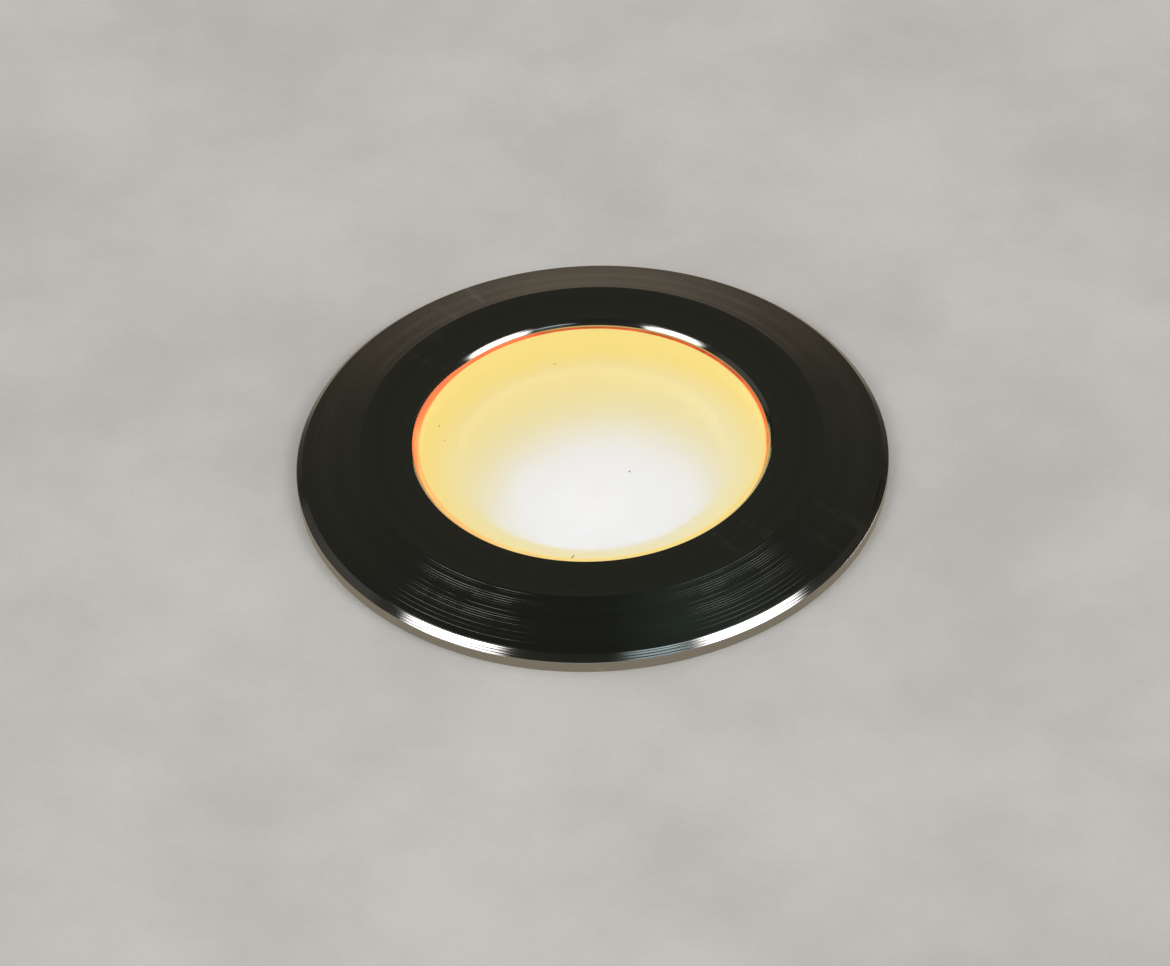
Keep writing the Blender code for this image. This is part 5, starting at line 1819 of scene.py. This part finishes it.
    def dress_solids(self) -> None:
        """Dresses every solid that no modelled piece stands for."""
        finishes = {
            # The LED board wears painted light from the source
            LIT_BOARD_GLOW: ["led_board"],
            GREY_SILICONE: ["thermal_pad"],
            ALUMINIUM: ["heat_spreader"],
            PLATED_STEEL: [
                *numbered("spreader_screw"), *numbered("standoff_screw"),
                *numbered("terminal_screw", 2)],
            BLACK_RUBBER: ["wire_grommet"],
            RED_PVC: ["lead_wire_red"],
            BLACK_PVC: ["lead_wire_black"],
            BRASS: numbered("standoff"),
            GREEN_BOARD: ["driver_board"],
            TERMINAL_GREEN: ["terminal_block"],
        }
        for finish, nodes in finishes.items():
            for node in nodes:
                finish.dress(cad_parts[node])
            log.info("%s dresses %s", finish.name, ", ".join(nodes))


# What mirror faces see of the room, from straight down to straight up
ROOM_STOPS = (
    (0.40, (0.31, 0.27, 0.21)), (0.49, (0.17, 0.14, 0.11)), (0.52, (0.094, 0.080, 0.061)),
    (0.56, (0.076, 0.066, 0.048)), (0.59, (0.066, 0.059, 0.044)), (0.635, (0.056, 0.050, 0.036)),
    (0.72, (0.036, 0.035, 0.029)), (0.835, (0.031, 0.031, 0.025)),
    (1.0, (0.0175, 0.0195, 0.0150)))
# What lights rough faces, from straight down to straight up
SOFT_STOPS = ((0.0, (0.34, 0.33, 0.32)), (0.5, (0.50, 0.49, 0.48)), (1.0, (0.64, 0.64, 0.63)))
LOW_FRONT: Colour = (0.42, 0.41, 0.39)
HIGH_HAZE: Colour = (0.029, 0.039, 0.033)
BACKDROP: Colour = (0.80, 0.79, 0.78)


@dataclass(frozen=True)
class SoftBox:
    """A soft lamp whose long side spans two directions, as seen from the light's bezel."""

    name: str
    start: Direction
    end: Direction
    height: float
    power: float
    distance: float = 1.0
    colour: Colour = (1.0, 1.0, 1.0)
    mirrored: bool = True
    fade: float = 0.16

    @staticmethod
    def direction(azimuth: float, elevation: float) -> Vector:
        """The direction at an azimuth from +X and an elevation, both in degrees."""
        rise = math.radians(elevation)
        return around(math.cos(rise), azimuth, math.sin(rise))

    def build(self) -> None:
        """Adds the lamp, facing the origin."""
        first = self.direction(*self.start)
        last = self.direction(*self.end)
        back = (first + last).normalized()
        side = (last - first).normalized()
        up = back.cross(side)
        data = bpy.data.lights.new(self.name, "AREA")
        data.shape = "RECTANGLE"
        data.size = (last - first).length * self.distance
        data.size_y = self.height
        data.energy = self.power
        data.color = self.colour
        data.use_nodes = True
        sheet = Sheet(data.node_tree)
        axes = sheet.put("SeparateXYZ", {0: sheet.put("NewGeometry").outputs["Parametric"]}).outputs
        edges = [sheet.work_out("ABSOLUTE", sheet.minus(axis, 0.5)) for axis in axes[:2]]
        across, along = [sheet.remap(edge, 0.5, 0.5 - self.fade) for edge in edges]
        sheet.feed(data.node_tree.nodes["Emission"].inputs["Strength"], sheet.times(across, along))
        lamp = bpy.data.objects.new(self.name, data)
        lamp.visible_camera = False
        lamp.visible_glossy = self.mirrored
        bpy.context.scene.collection.objects.link(lamp)
        turn = Matrix((side, up, back)).transposed()
        lamp.matrix_world = Matrix.Translation(back * self.distance) @ turn.to_4x4()


@dataclass
class Studio:
    """The floor, the lights, the surroundings and the camera."""

    floor_low: Vector = Vector((-0.075, -0.085, -0.008))
    floor_high: Vector = Vector((0.075, 0.098, 0.0))
    floor_hole: float = 0.0273
    elevation: float = 42.17
    distance: float = 0.720
    roll: float = -2.5
    target: Vector = Vector((-0.00085, -0.0023, 0.0))
    focal_pixels: float = 7118.0

    def build(self) -> None:
        """Builds everything that is not part of the object."""
        self.build_floor()
        self.build_lights()
        self.build_surroundings()
        self.build_camera()

    def build_floor(self) -> None:
        """A slab of floor with the hole that the sleeve stands in."""
        size = self.floor_high - self.floor_low
        floor = brick("studio_floor", size, (self.floor_high + self.floor_low) / 2)
        below = upright(self.floor_low.z * 2)
        join_shapes(floor, [rod("hole", self.floor_hole, below, -below, FINE)], Joining.CARVE)
        soften(floor, 0.0003)
        PaleFloor().dress(floor)
        floor.visible_glossy = False

    def build_lights(self) -> None:
        """Soft lamps at the front, left and right, dimmer ones above and beside, and low ones."""
        for box in (
                SoftBox("left_soft_box", (190, 33), (236, 44), 0.30, 3.1, fade=0.26),
                SoftBox("right_soft_box", (-57, 45), (-7, 31), 0.30, 3.7, fade=0.26),
                SoftBox("front_soft_box", (-85, 48), (-50, 44), 0.22, 0.28,
                        colour=(0.75, 0.95, 1.0), fade=0.35),
                SoftBox("left_side_box", (136, 5), (190, 33), 0.30, 0.045),
                SoftBox("left_high_box", (168, 47), (228, 68), 0.25, 0.32, fade=0.3),
                SoftBox("right_high_box", (-36, 69), (16, 47), 0.25, 0.15, fade=0.3),
                SoftBox("left_low_box", (205, -12), (240, -12), 0.30, 2.4),
                SoftBox("right_low_box", (0, -16), (30, -16), 0.30, 1.2),
                SoftBox("back_low_box", (100, -14), (140, -14), 0.30, 1.6, mirrored=False)):
            box.build()

    def build_surroundings(self) -> None:
        """A pale room for the eye and for soft light, and a dim one for mirror faces."""
        world = bpy.data.worlds.new("surroundings")
        bpy.context.scene.world = world
        world.use_nodes = True
        sheet = Sheet(world.node_tree)
        rays = sheet.put("LightPath").outputs
        towards = sheet.put("TexCoord").outputs["Generated"]
        axes = sheet.put("SeparateXYZ", {0: towards}).outputs
        level = sheet.straight(axes[2], -1.0, 1.0)
        unseen = sheet.blend(rays["Is Diffuse Ray"], self.dim_room(sheet, axes, level),
                             sheet.ramp(level, SOFT_STOPS))
        seen = sheet.blend(rays["Is Camera Ray"], unseen, BACKDROP)
        sheet.feed(world.node_tree.nodes["Background"].inputs["Color"], seen)
        bpy.context.scene.view_settings.view_transform = "Standard"

    @staticmethod
    def dim_room(sheet: Sheet, axes: Sequence[Socket], level: Socket) -> Socket:
        """The room that polished faces mirror: dark beside, lighter low in front, hazy above.

        Args:
            sheet: The world's node tree.
            axes: The direction of the ray, one coordinate at a time.
            level: How high it points, from 0, straight down, to 1, straight up.

        Returns:
            The socket with the room's colour.
        """
        across, along, height = axes
        beside = sheet.remap(sheet.work_out("ABSOLUTE", across), 0.28, 0.55)
        behind = sheet.times(sheet.remap(along, -0.1, 0.2), sheet.remap(height, 0.35, 0.15))
        behind = sheet.times(behind, sheet.remap(height, -0.45, -0.20))
        shade_there = sheet.remap(sheet.times(beside, behind), 0.0, 1.0, 1.0, 0.28)
        shade_grey = sheet.put("CombineXYZ", {axis: shade_there for axis in range(3)}).outputs[0]
        room = sheet.blend(1.0, sheet.ramp(level, ROOM_STOPS), shade_grey, "MULTIPLY")
        front = sheet.times(sheet.remap(along, -0.15, -0.45), sheet.remap(height, 0.38, 0.18))
        front = sheet.times(front, sheet.remap(height, -0.62, -0.40))
        room = sheet.blend(front, room, LOW_FRONT)
        haze = sheet.times(sheet.remap(across, 0.02, 0.20), sheet.remap(height, 0.84, 0.94))
        return sheet.blend(haze, room, HIGH_HAZE)

    def build_camera(self) -> None:
        """The camera where the photographer stood."""
        lean = math.radians(self.elevation)
        tilt = math.radians(self.roll)
        right, up = Vector((1, 0, 0)), Vector((0, math.sin(lean), math.cos(lean)))
        back = Vector((0, -math.cos(lean), math.sin(lean)))
        level = right * math.cos(tilt) + up * math.sin(tilt)
        top = up * math.cos(tilt) - right * math.sin(tilt)
        data = bpy.data.cameras.new("camera")
        data.sensor_width = SENSOR_WIDTH_MM
        data.lens = self.focal_pixels / PHOTO_WIDTH * SENSOR_WIDTH_MM
        camera = bpy.data.objects.new("camera", data)
        bpy.context.scene.collection.objects.link(camera)
        turn = Matrix((level, top, back)).transposed()
        camera.matrix_world = Matrix.Translation(self.target + back * self.distance) @ turn.to_4x4()
        bpy.context.scene.camera = camera


def main() -> None:
    """Builds the whole light and its studio."""
    logging.basicConfig(level=logging.INFO, format="%(message)s")
    for assembly in (Trim(), LightEngine(), Can(), CableGland(), Sleeve(), InnerWorks(), Studio()):
        log.info("building %s", type(assembly).__name__)
        assembly.build()


if __name__ == "__main__":
    main()
